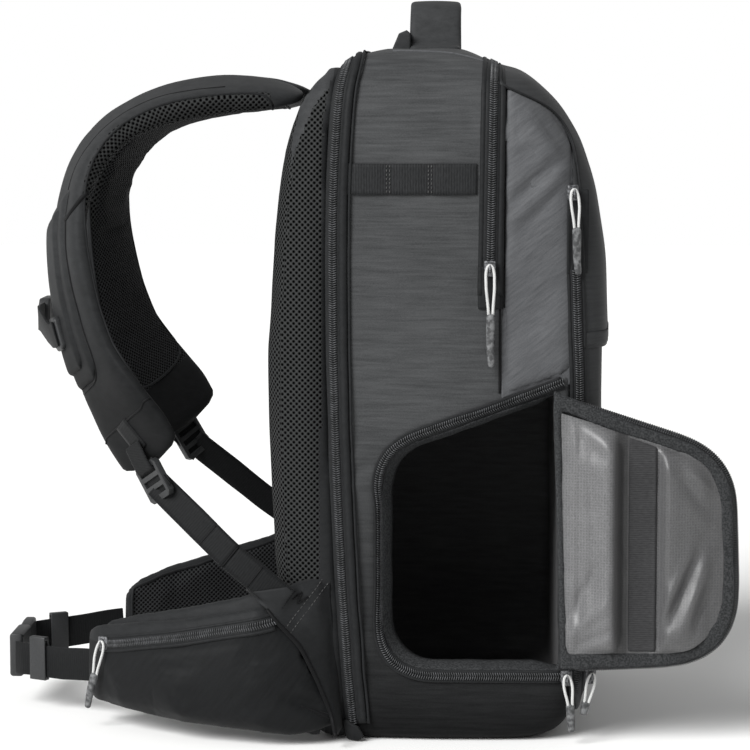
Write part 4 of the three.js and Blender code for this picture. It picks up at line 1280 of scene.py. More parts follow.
# Shoulder straps: plain cloth outside, mesh inside, piped edges
strap = {
    "guide": [
        (-116, -73, 477), (-155, -79, 482), (-190, -84, 480), (-226, -88, 472.5), (-256, -92, 457),
        (-278, -96, 432), (-288, -99, 402), (-290.5, -102, 371), (-286, -105, 338), (-278, -109, 302),
        (-266, -114, 270), (-251, -119, 243), (-239, -122, 224), (-230, -124, 210), (-227, -124.5, 205),
    ],
    "inside": (-190, -100, 340),
    "voxel": 2.4,
    "ring": 44,
    # how far round its section the outer cloth starts, along the strap: 1 at its crest, -1 on its inner face
    "clothFrom": [
        (0, -2), (22, -2), (25, 0.72), (150, 0.72), (190, 0.4),
        (235, -0.55), (376, -0.55), (380, -2), (420, -2),
    ],
    "meshTo": 235,
    # thinner where it is gathered into the bag
    "thinned": [(0, 0.4), (10, 0.55), (26, 0.92), (44, 1), (420, 1)],
    # wider on its near edge towards the lower end
    "flare": [(0, 0), (330, 0), (365, 6), (400, 9), (420, 9)],
    # where its bend is evened: from, to, fading over
    "bend": (40, 300, 30),
}


def padReach(piece, slices):
    # how far the pad reaches across and in and out at each slice
    local, _ = localIn(slices, points(piece))
    rows = []
    for run in slices["run"]:
        near = local[np.abs(local[:, 2] - run) < 5 * mm]
        rows.append((near[:, 1].min(), near[:, 1].max(), near[:, 0].min(), near[:, 0].max()))
    return softLine(rows, 12)


def padAlong(name, slices, reach):
    # one smooth pad along the slices, with square shoulders and rounded ends
    turn = np.linspace(0, 2 * math.pi, strap["ring"], endpoint=False)
    across = np.sign(np.cos(turn)) * np.abs(np.cos(turn)) ** 0.45
    outward = np.sign(np.sin(turn)) * np.abs(np.sin(turn)) ** 0.75
    total = slices["run"][-1]
    runs = np.linspace(0, total, int(total / (3 * mm)))
    middle, width, face = (atRun(slices, slices[key], runs)[:, None] for key in ("middle", "width", "face"))
    left, right, inner, outer = atRun(slices, reach, runs).T
    right = right + fromTable(runs, strap["flare"], mm)
    thin = fromTable(runs, strap["thinned"])
    gone = np.minimum(runs, total - runs)
    ends = np.sqrt(1 - (1 - np.clip(gone / (9 * mm), 0.02, 1)) ** 2)
    halfAcross, halfOut = (right - left) / 2, (outer - inner) / 2
    middleOut = (inner + outer) / 2 + halfOut * (1 - thin) * 0.6
    a = ((left + right) / 2)[:, None] + (halfAcross * ends)[:, None] * across
    o = middleOut[:, None] + (halfOut * ends * thin)[:, None] * outward
    verts = middle + a[..., None] * width + o[..., None] * face
    piece = newPiece(name, verts.reshape(-1, 3).tolist(), tubeFaces(len(runs), strap["ring"]))
    return edited(piece, outwards), runs, outward


rawStrap = eased(copyOf("shoulder_strap_left", "rawStrap"), strap["voxel"], 4)
strapCut = sliceFrames(rawStrap, strap["guide"], strap["inside"])
strapPiece, runs, outward = padAlong("shoulderStrapLeft", strapCut, padReach(rawStrap, strapCut))
bpy.data.objects.remove(rawStrap)
rings = points(strapPiece).reshape(len(runs), -1, 3)
start, end, over = (s * mm for s in strap["bend"])
bend = np.clip(np.minimum(runs - start, end - runs) / over, 0, 1)[1:-1, None, None]
for _ in range(12):
    rings[1:-1] += bend * (0.25 * (rings[:-2] + rings[2:]) - 0.5 * rings[1:-1])
setPoints(strapPiece, rings.reshape(-1, 3))
# cloth on the outer face and round the lower sides, mesh elsewhere
middleTurn = (outward + np.roll(outward, -1)) / 2
kind = (middleTurn[None, :] > fromTable(runs, strap["clothFrom"])[:-1, None]).astype(int)
openSide = (np.abs(middleTurn)[None, :] < 0.8) & (runs[:-1, None] < strap["meshTo"] * mm)
kind = np.r_[np.where((kind == 0) & openSide, 2, kind).ravel(), 1, 1]
sewn = np.zeros(len(strapPiece.data.vertices), bool)
for face, isCloth in zip(strapPiece.data.polygons, kind):
    if isCloth == 1:
        sewn[list(face.vertices)] = True
slackened(strapPiece, [(45, 0.9), (16, 0.3)], side=0)
puffed(strapPiece, sewn, 3.0, 2.0)
paint(strapPiece, [cloth["innerMesh"], cloth["strap"], cloth["mesh"]], kind)
boxUv(strapPiece, strapCut)
strapTree = treeOf(strapPiece)
edgePiping = seamTubes("strapPipingLeft", strapPiece, 1.0, 60, among=1)
for piece in keepPair(strapPiece, "air_mesh", "shoulder_strap"):
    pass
finishedPair(edgePiping, "piping", "shell")
print("straps made:", round(strapCut["run"][-1] / mm), "mm long")

# Pocket on each strap: a stretch layer with a flap over it
strapPocket = {
    "layer": {"run": (224, 348), "across": (-32, 15), "slope": -0.42, "lift": 3.0},
    "flap": {"run": (232, 338), "across": (-33, 3), "slope": -0.42, "lift": 6.0},
    "fold": [(242, 130), (228, 85), (216, 30), (206, 0), (203, -14)],
    "lowFold": [(389, 150), (387, 90), (385, 30), (384, -10)],
    "tab": [(386, 4), (411, 7)],
    "line": [(60, 16), (130, 14), (205, 8)],
    "flapEdge": [(219, 3.8), (322, 3.8), (334, 1.5), (339.5, -6), (340.5, -30)],
    "layerEdge": [(226, 15.8), (330, 15.8), (343, 12), (349.5, 2), (350.5, -30)],
}


def ringLine(rows):
    # a line on the pad drawn as (along in mm, turn in degrees): 0 on its near edge, 90 on its crest
    count = strap["ring"]
    co = points(strapPiece).reshape(-1, count, 3)
    ways = vertexNormals(strapPiece).reshape(-1, count, 3)
    total = strapCut["run"][-1]
    line, out = [], []
    for run, turn in spaced(np.array(rows, float), 3.0):
        i = min(len(co) - 1, int(round(run * mm / total * (len(co) - 1))))
        k = int(round(turn / 360 * count)) % count
        line.append(co[i, k])
        out.append(ways[i, k])
    return softLine(line, 14), unit(softLine(out, 14))


def strapPatch(name, part, rounding=14.0):
    runs = np.linspace(*part["run"], 44)
    crosses = np.linspace(*part["across"], 13)
    grid, uvs = np.zeros((len(runs), len(crosses), 3)), []
    (first, last), (low, high) = part["run"], part["across"]
    for j, run in enumerate(runs):
        for i, across in enumerate(crosses):
            # a slanted top, a rounded lower corner, and edges that dive to the strap
            slant = part["slope"] * (across - low) * (1 - (run - first) / (last - first))
            cut = max(0.0, rounding - (last - run))
            most = high - (rounding - math.sqrt(max(0.0, rounding**2 - cut**2)))
            at, up = onStrap(strapCut, strapTree, (run + slant) * mm, min(across, most) * mm)
            edgeGone = min(across - low + 1.0, high - across, last - run, run - first)
            lift = part["lift"] * (1 - math.exp(-max(0.0, edgeGone) / 1.2)) + 0.25
            grid[j, i] = at + up * lift * mm
            uvs.append((across * mm, run * mm))
    return refined(thickened(sheetOf(name, grid, (-1, 0, 0), uvs), 1.0))


finishedPair(strapPatch("strapPocketLeft", strapPocket["layer"]), "strap", "shell", "strap_pocket")
finishedPair(strapPatch("strapFlapLeft", strapPocket["flap"]), "strap", "shell")
# painted shadow: near-black tubes along the strap's folds, and shadow lines along its pocket's edges
seams = []
for key, radius in (("fold", 1.6), ("lowFold", 0.9)):
    line, out = ringLine(strapPocket[key])
    line[-2:] -= out[-2:] * np.array([[1.0], [2.5]]) * mm  # its end goes into the pad
    seams.append(sweep("strapFold", line, out, circle(radius)))
for key, radius in (("line", 0.6), ("flapEdge", 1.2), ("layerEdge", 1.0)):
    line, out = strapLine(strapCut, strapTree, strapPocket[key])
    seams.append(sweep("strapSeam", line, out, circle(radius, 6)))
finishedPair(joined("strapSeamsLeft", seams), "seam", "shell")


# Webbing keeps the CAD's path, with rounded edges, a little slack and ribs along it
def bevelled(piece, width, segments, sharp):
    limit = {"limit_method": "ANGLE", "angle_limit": math.radians(sharp)}
    return applied(piece, "BEVEL", width=width * mm, segments=segments, **limit)


def smoothedTo(piece, angle):
    pick(piece)
    bpy.ops.object.shade_smooth_by_angle(angle=math.radians(angle))
    return piece


def webbingFrom(node, name, guide, inside):
    piece = copyOf(node, name)
    edited(piece, (bpy.ops.mesh.tris_convert_to_quads, {}), (bpy.ops.mesh.subdivide, {"number_cuts": 1}))
    slices = sliceFrames(piece, guide, inside, reach=6, wide=30)
    slackened(piece, [(30, 0.5)], side=0)
    paint(piece, [cloth["strapWeb"]])
    boxUv(piece, slices)
    return smoothedTo(bevelled(piece, 0.4, 2, 50), 40)


webGuides = {
    "belt_webbing": [
        (-275.3, -79.2, 45.5), (-292, -69.8, 44.5), (-311, -59.5, 43), (-325, -52, 42), (-344, -39, 41),
    ],
    "sternum_webbing": [(-303, -103, 301), (-318, -72, 309), (-322, -50, 309), (-323, -21, 309)],
}
webInside = (-190, 0, 200)
# the near belt webbing hangs lower: x, mm
nearBeltLower = [(-335, 1.2), (-305, 3.6)]
for node, guide in webGuides.items():
    parts = node.split("_")
    web = webbingFrom(node + "_left", parts[0] + parts[1].title() + "Left", guide, webInside)
    keepPair(web, "webbing", node)
    if node == "belt_webbing":
        nudged(web, 2, lambda co: -fromTable(co[:, 0], nearBeltLower, mm))

lowerWeb = {
    "line": [
        (-222, -134, 191), (-187, -150.5, 160), (-165, -160, 140.5), (-146, -165, 126), (-123, -167, 108),
    ],
    "out": (-0.18, -0.977, 0.145),
    "wide": 20.5,
    "thick": 1.5,
    # the folded ends sewn on it: from and to along its length, how far out, how wide
    "folds": [(0.42, 0.62, 1.6, 20.0), (0.6, 0.98, 0.9, 19.0)],
    # dark seams across it, painted near black as shadow lines: where, how far out
    "ends": [(0.42, 2.0), (0.6, 2.0), (0.78, 1.6)],
}
line = drawnLine(lowerWeb["line"], 3, 8)
way = unit(np.array(lowerWeb["out"]))
lowerPiece = sweep("lowerWebbingLeft", line, way, flatProfile(lowerWeb["wide"], lowerWeb["thick"]))
slackened(lowerPiece, [(30, 0.5)], side=0)
finishedPair(lowerPiece, "strapWeb", "webbing", "lower_webbing")
layers = []
for start, end, lift, wide in lowerWeb["folds"]:
    part = line[int(start * len(line)) : int(end * len(line))] + way * lift * mm
    layers.append(sweep("webFold", part, way, flatProfile(wide, 1.4)))
finishedPair(joined("webFoldsLeft", layers), "strapWeb", "webbing")
ends = []
for share, lift in lowerWeb["ends"]:
    k = int(share * len(line))
    across = unit(np.cross(tangents(line)[k], way))
    part = line[k] + way * lift * mm + np.linspace(-9.5, 9.5, 8)[:, None] * across * mm
    ends.append(sweep("webEnd", part, way, circle(0.7)))
finishedPair(joined("webEndsLeft", ends), "seam", "webbing")
line, out = strapLine(strapCut, strapTree, strapPocket["tab"])
finishedPair(sweep("lockTabTopLeft", line + out * 0.4 * mm, out, flatProfile(17, 1.8)), "strapWeb", "webbing")


def threaded(node, name, share):
    # the turn of webbing behind a buckle's bars
    co = np.array([v.co for v in nodes[node].data.vertices])
    ways = np.linalg.eigh(np.cov((co - co.mean(0)).T))[1]
    local = (co - co.mean(0)) @ ways
    centre = co.mean(0) + ways @ ((local.min(0) + local.max(0)) / 2)
    size = local.max(0) - local.min(0)
    line = np.array([centre + ways[:, 2] * size[2] * share[0] * t for t in np.linspace(-0.5, 0.5, 9)])
    return sweep(name, line, ways[:, 0], flatProfile(size[1] * share[1] / mm, 1.4))


finishedPair(threaded("ladder_lock_left", "lockWebbingLeft", (0.8, 0.74)), "strapWeb", "webbing")
tab = eased(copyOf("lock_tab_left", "lockTabLeft"), 1.0, 3)
finishedPair(boxUv(tab), "strapWeb", "webbing", "lock_tab")
print("webbing made")


# Moulded buckles: the CAD's shapes with rounded edges
def softEdges(node, name, width):
    piece = copyOf(node, name)
    edited(piece, (bpy.ops.mesh.dissolve_limited, {"angle_limit": math.radians(2)}))
    return smoothedTo(paint(bevelled(piece, width, 3, 30), [cloth["acetal"]]), 35)


for node, name, width in (
    ("ladder_lock", "ladderLock", 1.1),
    ("belt_adjuster", "beltAdjuster", 0.9),
    ("sternum_slide", "sternumSlide", 1.2),
):
    keepPair(softEdges(node + "_left", name + "Left", width), "plastic", node)
for node, name in (
    ("belt_buckle_left", "beltSocket"),
    ("belt_buckle_right", "beltPlug"),
    ("sternum_buckle", "sternumBuckle"),
):
    keep(softEdges(node, name, 1.0), "plastic", node)
print("buckles made")

# Hip wings: cloth outside, mesh towards the wearer
wing = {"voxel": 2.6, "margin": 6, "sewn": -104, "inward": (-0.5, 0.86, 0)}
wingPiece = eased(copyOf("hip_wing_left", "hipWingLeft"), wing["voxel"], 16)
slackened(wingPiece, [(50, 0.9), (18, 0.3)], side=0)
puffed(wingPiece, points(wingPiece)[:, 0] > wing["sewn"] * mm, 3.0, 1.8)
centre, normal = faceArrays(wingPiece)
stations = np.linspace(centre[:, 0].min(), centre[:, 0].max(), 40)
near = [np.abs(centre[:, 0] - x) < 6 * mm for x in stations]
top = np.interp(centre[:, 0], stations, [centre[n, 2].max() for n in near])
low = np.interp(centre[:, 0], stations, [centre[n, 2].min() for n in near])
fromEdge = np.min([top - centre[:, 2], centre[:, 2] - low, centre[:, 0] - stations[0]], axis=0)
within = (fromEdge > wing["margin"] * mm) & (normal @ np.array(wing["inward"]) > 0.2)
paint(wingPiece, [cloth["gusset"], cloth["innerMesh"]], np.where(within, 1, 0))
boxUv(wingPiece)
wingSeam = seamTubes("wingPipingLeft", wingPiece, 1.2)
for piece in keepPair(wingPiece, "shell", "hip_wing"):
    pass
finishedPair(wingSeam, "piping", "shell")

# Hip pockets: a swelling cloth pouch with a coil zip, and a gusset from its end to the bag
hipGusset = {
    "top": [(-155, 114.5), (-146, 108.5)],
    "seam": [(-137, 103), (-112, 76), (-100, 50), (-90, 24), (-86, 10)],
    "edge": [(-92, 125), (-89, 80), (-86.5, 50), (-84, 20), (-83, 10)],
    "stitch": [(-96, 120.5), (-109, 104), (-122, 87.5)],
    "pucker": [(-113, 31), (-104, 27), (-96, 23), (-91, 21)],
    "tack": [(-119, 110), (-112, 115), (-116, 106), (-108, 111)],
    "folds": [(-96, 120, -122, 88, 4.0, -0.9), (-92, 112, -88, 30, 3.0, -1.6)],
    "bulge": 1.5,
    "cells": (30, 56),
    # kept clear of what lies under it, then evened, in turns: mm, rounds
    "clear": [(1.4, 5), (1.2, 3), (0.9, 1), (0.7, 0)],
}
pouch = {
    "voxel": 2.0,
    "fatter": 0.8,
    "sewn": 4,
    "from": -175,
    # its lower end is drawn up: how far, from x, over x, below z
    "lifted": (11, -125, 35, 60),
    # the near one's tip reaches out along the belt: how far, from x, over x, and over x to take it back
    "tip": (7, -225, 40, 47),
    "zip": [(-267, 65.5), (-200, 80), (-133, 94.2)],
    "zipRoll": (5.2, 1.4),
    "folds": [
        (-262, 58, -140, 82, 3.5, -1.0),
        (-122, 37, -96, 28, 5.0, -5.0),
        (-120, 47, -98, 40, 6.0, 2.4),
        (-240, 30, -170, 24, 9.0, 0.7),
        (-268, 50, -256, 26, 4.0, -0.8),
    ],
}
pouchPiece = copyOf("hip_pocket_left", "hipPocketLeft")
setPoints(pouchPiece, points(pouchPiece) + vertexNormals(pouchPiece) * pouch["fatter"] * mm)
eased(pouchPiece, pouch["voxel"], 9)
wingTree = treeOf(wingPiece)
co = points(pouchPiece)
# its end follows the seam of the gusset
goal = fromTable(co[:, 2], [(z, x) for x, z in hipGusset["seam"][::-1]], mm)
heights = np.linspace(co[:, 2].min(), co[:, 2].max(), 30)
ends = np.interp(co[:, 2], heights, [co[np.abs(co[:, 2] - z) < 5 * mm, 0].max() for z in heights])
part = np.clip((co[:, 0] - pouch["from"] * mm) / (ends - pouch["from"] * mm), 0, 1)
co[:, 0] += (goal - ends) * part**1.5
up, start, over, below = (s * mm for s in pouch["lifted"])
co[:, 2] += up * np.clip((co[:, 0] - start) / over, 0, 1) ** 1.5 * np.clip(1 - co[:, 2] / below, 0, 1)
tip, tipFrom, tipOver, tipBack = (s * mm for s in pouch["tip"])
co[:, 0] -= tip * np.clip((tipFrom - co[:, 0]) / tipOver, 0, 1)
setPoints(pouchPiece, co)
sewn = np.array([wingTree.find_nearest(Vector(p))[3] < pouch["sewn"] * mm for p in co])
puffed(pouchPiece, sewn & (vertexNormals(pouchPiece)[:, 1] > 0.3), 5.0, 4.0)
slackened(pouchPiece, [(60, 1.2), (22, 0.35)], pouch["folds"])
refined(pouchPiece)
# painted light: the pouch's top above the zip, which faces up, is in the lighter hip belt cloth
centre, _ = faceArrays(pouchPiece)
aboveZip = centre[:, 2] > fromTable(centre[:, 0], pouch["zip"], mm)
paint(pouchPiece, [cloth["hip"], cloth["gusset"]], np.where(aboveZip, 1, 0))
pouchTree = treeOf(pouchPiece, wingPiece)
farPouch = keepPair(pouchPiece, "shell", "hip_pocket")[1]
nudged(farPouch, 0, lambda co: tip * np.clip((tipFrom - co[:, 0]) / tipBack, 0, 1))
line, out = sideLine(pouchTree, pouch["zip"], step=2, rounds=6)
finishedPair(sweep("hipZipTapeLeft", line + out * 0.3 * mm, out, flatProfile(9, 1)), "tape", "zip", "hip_zip")
finishedPair(coilAlong("hipZipCoilLeft", line, out, 1.0), "coil", "zip")
beside, radius = pouch["zipRoll"]
rolls = [sweep("hipRoll", shifted(line, out, k * beside), out, circle(radius)) for k in (-1, 1)]

count, rows = hipGusset["cells"]
webs = [bpy.data.objects[name] for name in ("lowerWebbingLeft", "webFoldsLeft")]
under = treeOf(pouchPiece, wingPiece, *webs)
flat = drawnLine(hipGusset["seam"], 2)
seamAt = softLine([(x, castSide(pouchTree, x - 5 * mm, z)[0][1], z) for x, z in flat], 10)
flat = drawnLine(hipGusset["top"], 2)
topAt = [(x, castSide(under, x, z - 6 * mm)[0][1] + 1.5 * mm, z) for x, z in flat]
leftAt = spaced(np.r_[topAt, seamAt], 1 * mm)
edgeAt, _ = sideLine(treeOf(mainShell, backPanel), hipGusset["edge"], step=1, rounds=8)
t = np.linspace(0, 1, count)[None, :, None]
grid = (1 - t) * picked(leftAt, rows)[:, None] + t * picked(edgeAt, rows)[:, None]
grid[..., 1] -= hipGusset["bulge"] * mm * np.sin(math.pi * t[..., 0])
for clear, rounds in hipGusset["clear"]:
    for j, i in np.ndindex(rows, count):
        hit = under.ray_cast(Vector((grid[j, i, 0], -rayFrom, grid[j, i, 2])), acrossWay)[0]
        if hit is not None and i > 0:
            grid[j, i, 1] = min(grid[j, i, 1], hit.y - clear * mm)
    evened(grid, rounds)
panel = sheetOf("hipGussetLeft", grid, -acrossWay)
slackened(panel, [(26, 0.9)], hipGusset["folds"])
panelTree = treeOf(panel)
finishedPair(thickened(panel, 1.2), "gusset", "shell")
# the hip seams and tack, painted near black as shadow lines
seamOut = np.array([0.3, -0.95, 0])
seams = [sweep("hipSeam", seamAt + (seamOut * 0.4 - np.array([0.8, 0, 0.3])) * mm, seamOut, circle(1.7))]
# painted shadow: a near-black tube along the pucker at the pouch's foot
line, out = sideLine(pouchTree, hipGusset["pucker"], step=2)
thin = np.sin(np.linspace(0.1, math.pi * 0.7, len(line)))
seams.append(sweep("hipPucker", line, out, circle(2.0), scale=thin))
line, out = sideLine(panelTree, hipGusset["tack"], step=2, rounds=0)
seams.append(sweep("hipTack", line + out * 0.3 * mm, out, circle(0.7)))
finishedPair(joined("hipSeamsLeft", seams), "seam", "shell")
line, out = sideLine(panelTree, hipGusset["stitch"], step=2)
rows = [stitchesAlong("hipStitch", shifted(line, out, k * 2.6), out, 3.4, 2.2, 0.35) for k in (-1, 1)]
finishedPair(joined("hipStitchesLeft", rows), "thread", "shell")
finishedPair(joined("hipRollsLeft", rolls), "piping", "shell")
print("hip belt made")

# A heather flange that leans in round the opening
flangeSizes = {
    "corners": [(79, 55.5), (-54.5, 55.5), (-54.5, 216), (79, 263.3)],
    "radii": [0, 38.5, 40.5, 0],
    "middle": (20, 150),
    # how far each side of it leans in, and over what x that fades at the door
    "left": 8.5,
    "low": 5,
    "high": 2,
    "fade": (79, 20),
    "deep": 14,
    "bow": 1.6,
    "cells": 6,
    "thick": 1.6,
}
edge = spaced(roundedCorners(flangeSizes["corners"], flangeSizes["radii"]), 3.0)
inwardWay = inwardWays(edge, flangeSizes["middle"])
lean = np.clip(inwardWay[:, 0], 0, 1) * flangeSizes["left"]
lean += np.clip(inwardWay[:, 1], 0, 1) * flangeSizes["low"]
lean += np.clip(-inwardWay[:, 1], 0, 1) * flangeSizes["high"]
end, over = flangeSizes["fade"]
lean *= np.clip((end - edge[:, 0]) / over, 0.15, 1)
verts = []
for at, way, reach in zip(edge, inwardWay, lean):
    start, _ = castSide(bodyTree, *((at - 6 * way) * mm))
    for t in np.linspace(0, 1, flangeSizes["cells"]):
        bow = math.sin(t * math.pi) * flangeSizes["bow"]
        flat = at + way * (reach * t - 0.8)
        verts.append((flat[0] * mm, start[1] + (1.2 + flangeSizes["deep"] * t - bow) * mm, flat[1] * mm))
flange = newPiece("openingGusset", verts, gridFaces(len(edge), flangeSizes["cells"]))
thickened(flange, flangeSizes["thick"], offset=0)
finished(slackened(flange, [(18, 0.8)], side=0), "felt", "lining")

# The open door: padded leaf, rolled rim, loose lining, a webbing strip, its half of the zip
door = {
    # the lining's slack across the leaf: x, how far it stands out
    "slackRows": [
        (78, 0), (84, 2.5), (88, 5.2), (91, 4.2), (100, 8.5), (106, 12.5), (111, 15.5), (115, 15.5),
        (118, 10), (121, 3), (124, -1), (127, -0.5), (129, 0), (149, 0), (152, 9), (156, 12.5),
        (162, 11.5), (172, 8), (181, 4), (188, 0.5), (200, 0),
    ],
    # and where it ends: lowest z, highest z at x, falling with x, fading over
    "low": 72,
    "high": (250, 78),
    "fall": 0.3545,
    "fade": 16,
    "folds": [
        (97, 96, 93, 226, 4.0, 2.2),
        (84, 86, 112, 112, 4.5, 3.2),
        (84, 96, 106, 140, 4.0, -2.6),
        (90, 78, 118, 92, 3.5, -2.8),
        (86, 236, 116, 214, 6.0, -1.4),
        (88, 222, 110, 196, 7.0, 1.2),
        (183, 160, 152, 84, 4.5, -4.6),
        (188, 146, 164, 82, 4.0, 4.2),
        (174, 150, 150, 98, 4.0, 3.0),
        (186, 118, 172, 80, 3.5, -3.6),
        (160, 214, 184, 176, 5.0, -3.0),
        (172, 210, 188, 190, 4.0, 2.6),
    ],
    "crumple": (16, 1.1),
    "cells": (72, 100),
    "tape": (126.5, 149.0),
    "tapeHigh": (234.5, 123),
    "tuck": 2.5,
    # its rim's upper end fills the corner: how far up, over what height
    "rimUp": (6, 20),
    "zipIn": 3.2,
    "zipFrom": 86,
}
doorPanel = eased(copyOf("door_panel", "doorPanel"), 2.2, 4)
finished(slackened(doorPanel, [(60, 0.9), (22, 0.3)], side=0), "shell", "shell", "door_panel")
doorRim = eased(copyOf("door_rim", "doorRim"), 1.4, 5)
up, over = (s * mm for s in door["rimUp"])
nudged(doorRim, 2, lambda co: up * np.clip((co[:, 2] - co[:, 2].max() + over) / over, 0, 1))
finished(slackened(doorRim, [(26, 0.6)], side=0), "felt", "shell", "door_rim")


def outlineOf(node):
    # the outer line of a flat node in the side view, in order, and the plane it lies in
    co = np.array([v.co for v in nodes[node].data.vertices])
    flat = sorted({(round(p[0], 5), round(p[2], 5)) for p in co})
    halves = []
    for rows in (flat, flat[::-1]):
        half = []
        for p in rows:
            while len(half) > 1 and np.cross(np.subtract(half[-1], half[-2]), np.subtract(p, half[-1])) <= 0:
                half.pop()
            half.append(p)
        halves.append(half[:-1])
    fit = np.linalg.lstsq(np.c_[co[:, 0], np.ones(len(co))], co[:, 1], rcond=None)[0]
    return np.array(halves[0] + halves[1]), fit


outline, leafPlane = outlineOf("door_lining")
outline = outline + door["tuck"] * mm * unit(outline - outline.mean(0))  # its edge goes under the rim


def liningSpan(z):
    # the lining's left and right edge at a height
    found = []
    for p, q in zip(outline, np.roll(outline, -1, 0)):
        if (p[1] - z) * (q[1] - z) <= 0 and p[1] != q[1]:
            found.append(p[0] + (q[0] - p[0]) * (z - p[1]) / (q[1] - p[1]))
    return min(found), max(found)


def liningRelief(flat):
    # how far the loose lining stands towards the viewer, in mm: two slack bays with the strip between them
    x, z = flat.T
    high, highAt = door["high"]
    fromEnds = np.minimum(z - door["low"], high - door["fall"] * (x - highAt) - z)
    ends = np.sin(np.clip(fromEnds / door["fade"], 0, 1) * math.pi / 2) ** 0.7
    push = fromTable(x, door["slackRows"], step=1) * ends
    return push + sum(drawnFold(flat, fold) for fold in door["folds"])


def tapeSpan(x):
    high, highAt = door["tapeHigh"]
    return door["low"], high - door["fall"] * (x - highAt)


across, tall = door["cells"]
levels = np.linspace(outline[:, 1].min() + 0.2 * mm, outline[:, 1].max() - 0.2 * mm, tall)
flat = np.array([(x, z) for z in levels for x in np.linspace(*liningSpan(z), across)])
front = min(v.co.y - leafPlane[0] * v.co.x - leafPlane[1] for v in nodes["door_lining"].data.vertices)
y = leafPlane[0] * flat[:, 0] + leafPlane[1] + front - (1.5 + liningRelief(flat / mm)) * mm
lining = sheetOf("doorLining", np.c_[flat[:, 0], y, flat[:, 1]].reshape(tall, across, 3), -acrossWay)
size, deep = door["crumple"]
nudged(lining, 1, lambda co: -deep * mm * rippled(co, size * mm, 3.1))
applied(lining, "SMOOTH", factor=0.5, iterations=2)
liningTree = treeOf(lining)
finished(thickened(lining, 0.8), "ripstop", "lining", "door_lining")

doorTape = patchOn(liningTree, "doorTape", np.linspace(*door["tape"], 9), tapeSpan, 50, 0.3, upright=True)
applied(doorTape, "SMOOTH", factor=0.5, iterations=6)
finished(thickened(doorTape, 0.9, offset=1), "doorWeb", "webbing", "door_tape")

outline, leafPlane = outlineOf("door_zip")
leafMiddle = outline.mean(0)
outline = outline + door["zipIn"] * mm * unit(leafMiddle - outline)
ring = np.roll(outline, -int(np.argmin(outline[:, 0])), 0)
ring = spaced(np.r_[ring, ring[:1]], 2 * mm)
ring = softLine(ring[ring[:, 0] > door["zipFrom"] * mm], 8)
line = np.stack([ring[:, 0], leafPlane[0] * ring[:, 0] + leafPlane[1], ring[:, 1]], 1)
out = np.stack([ring[:, 0] - leafMiddle[0], np.full(len(ring), -0.04), ring[:, 1] - leafMiddle[1]], 1)
zipAlong("doorZip", line, unit(out), "door_zip", tapeWide=7)
finished(eased(copyOf("door_hinge", "doorHinge"), 0.8, 3), "piping", "shell", "door_hinge")
print("door made")

# Grab handle and the small tab behind it
handle = {
    "half": [(-76, 513.6), (-64, 514.2), (-55, 520.5), (-51.5, 535), (-47, 545.0), (-34, 548.8)],
    "top": 549.2,
    "section": (36.5, 5.5, 0.6, 11),
    "x": -16,
    "tabX": (-48.8, -34.6),
    "tabSink": 3,
}
arch = handle["half"] + [(0, handle["top"])] + [(-y, z) for y, z in handle["half"][::-1]]
arch = drawnLine(arch, 3, 4)
line = np.stack([np.full(len(arch), handle["x"] * mm), arch[:, 0], arch[:, 1]], 1)
way = tangents(line)
out = np.stack([np.zeros(len(way)), -way[:, 2], way[:, 1]], 1)
grab = refined(sweep("topHandle", line, out, flatProfile(*handle["section"])))
finished(slackened(grab, [(30, 0.5)], side=0), "handle", "webbing", "top_handle")
topTab = eased(copyOf("top_tab", "topTab"), 1.0, 4)
co = points(topTab)
low, high = co.min(0), co.max(0)
co[:, 0] = np.interp(co[:, 0], [low[0], high[0]], np.array(handle["tabX"]) * mm)
co[:, 2] -= handle["tabSink"] * mm * (high[2] - co[:, 2]) / (high[2] - low[2])
setPoints(topTab, co)
finished(topTab, "handle", "webbing", "top_tab")
for hand in ("left", "right"):
    endTab = eased(copyOf("zip_end_" + hand, "zipEnd" + hand.title()), 0.8, 3)
    finished(endTab, "piping", "webbing", "zip_end_" + hand)
print("handle made")

# Zip sliders with cord pulls
slider = {"size": (8.4, 11.5, 3.4), "waist": (-3, 0.72), "bridge": (3.1, 0.95), "bridgeAt": (0, 0.5, 1.4)}
pulls = [
    {"node": "front_zip", "at": (25.5, 354), "loop": 34, "grip": 38, "sway": 0.6, "lean": (0.02, 0, -1)},
    {"node": "pocket_zip", "at": (85, 409), "loop": 26, "grip": 34, "sway": 0.8, "lean": (0.08, 0, -1)},
    {"node": "lower_zip", "at": (101, 50), "loop": 20, "grip": 9, "sway": 0.4, "lean": (-0.25, 0, -1)},
    {"node": "door_zip", "at": (83, 50), "loop": 20, "grip": 20, "sway": 1.0, "lean": (0.12, 0, -1)},
]
hipPull = {"at": (-265, 66), "loop": 24, "grip": 28, "sway": 1.2, "lean": (-0.28, 0, -1)}
hipOut = (-0.45, -0.9, 0)


def sliderShape():
    # a slider lying along Y, its top towards Z: body, waist and bridge
    bpy.ops.mesh.primitive_cube_add(size=1)
    base = bpy.context.active_object
    base.data.transform(Matrix.Diagonal([s * mm for s in slider["size"]] + [1]))
    edited(base, (bpy.ops.mesh.subdivide, {"number_cuts": 2}))
    behind, narrow = slider["waist"]
    for v in base.data.vertices:
        if v.co.y < behind * mm:
            v.co.x *= narrow
    bevelled(base, 0.9, 2, 40)
    major, minor = (s * mm for s in slider["bridge"])
    bpy.ops.mesh.primitive_torus_add(
        major_radius=major, minor_radius=minor, major_segments=20, minor_segments=8
    )
    bridge = bpy.context.active_object
    bridge.data.transform(Matrix.Rotation(math.pi / 2, 4, "Y"))
    bridge.data.transform(Matrix.Translation([s * mm for s in slider["bridgeAt"]]))
    return joined("slider", [base, bridge])


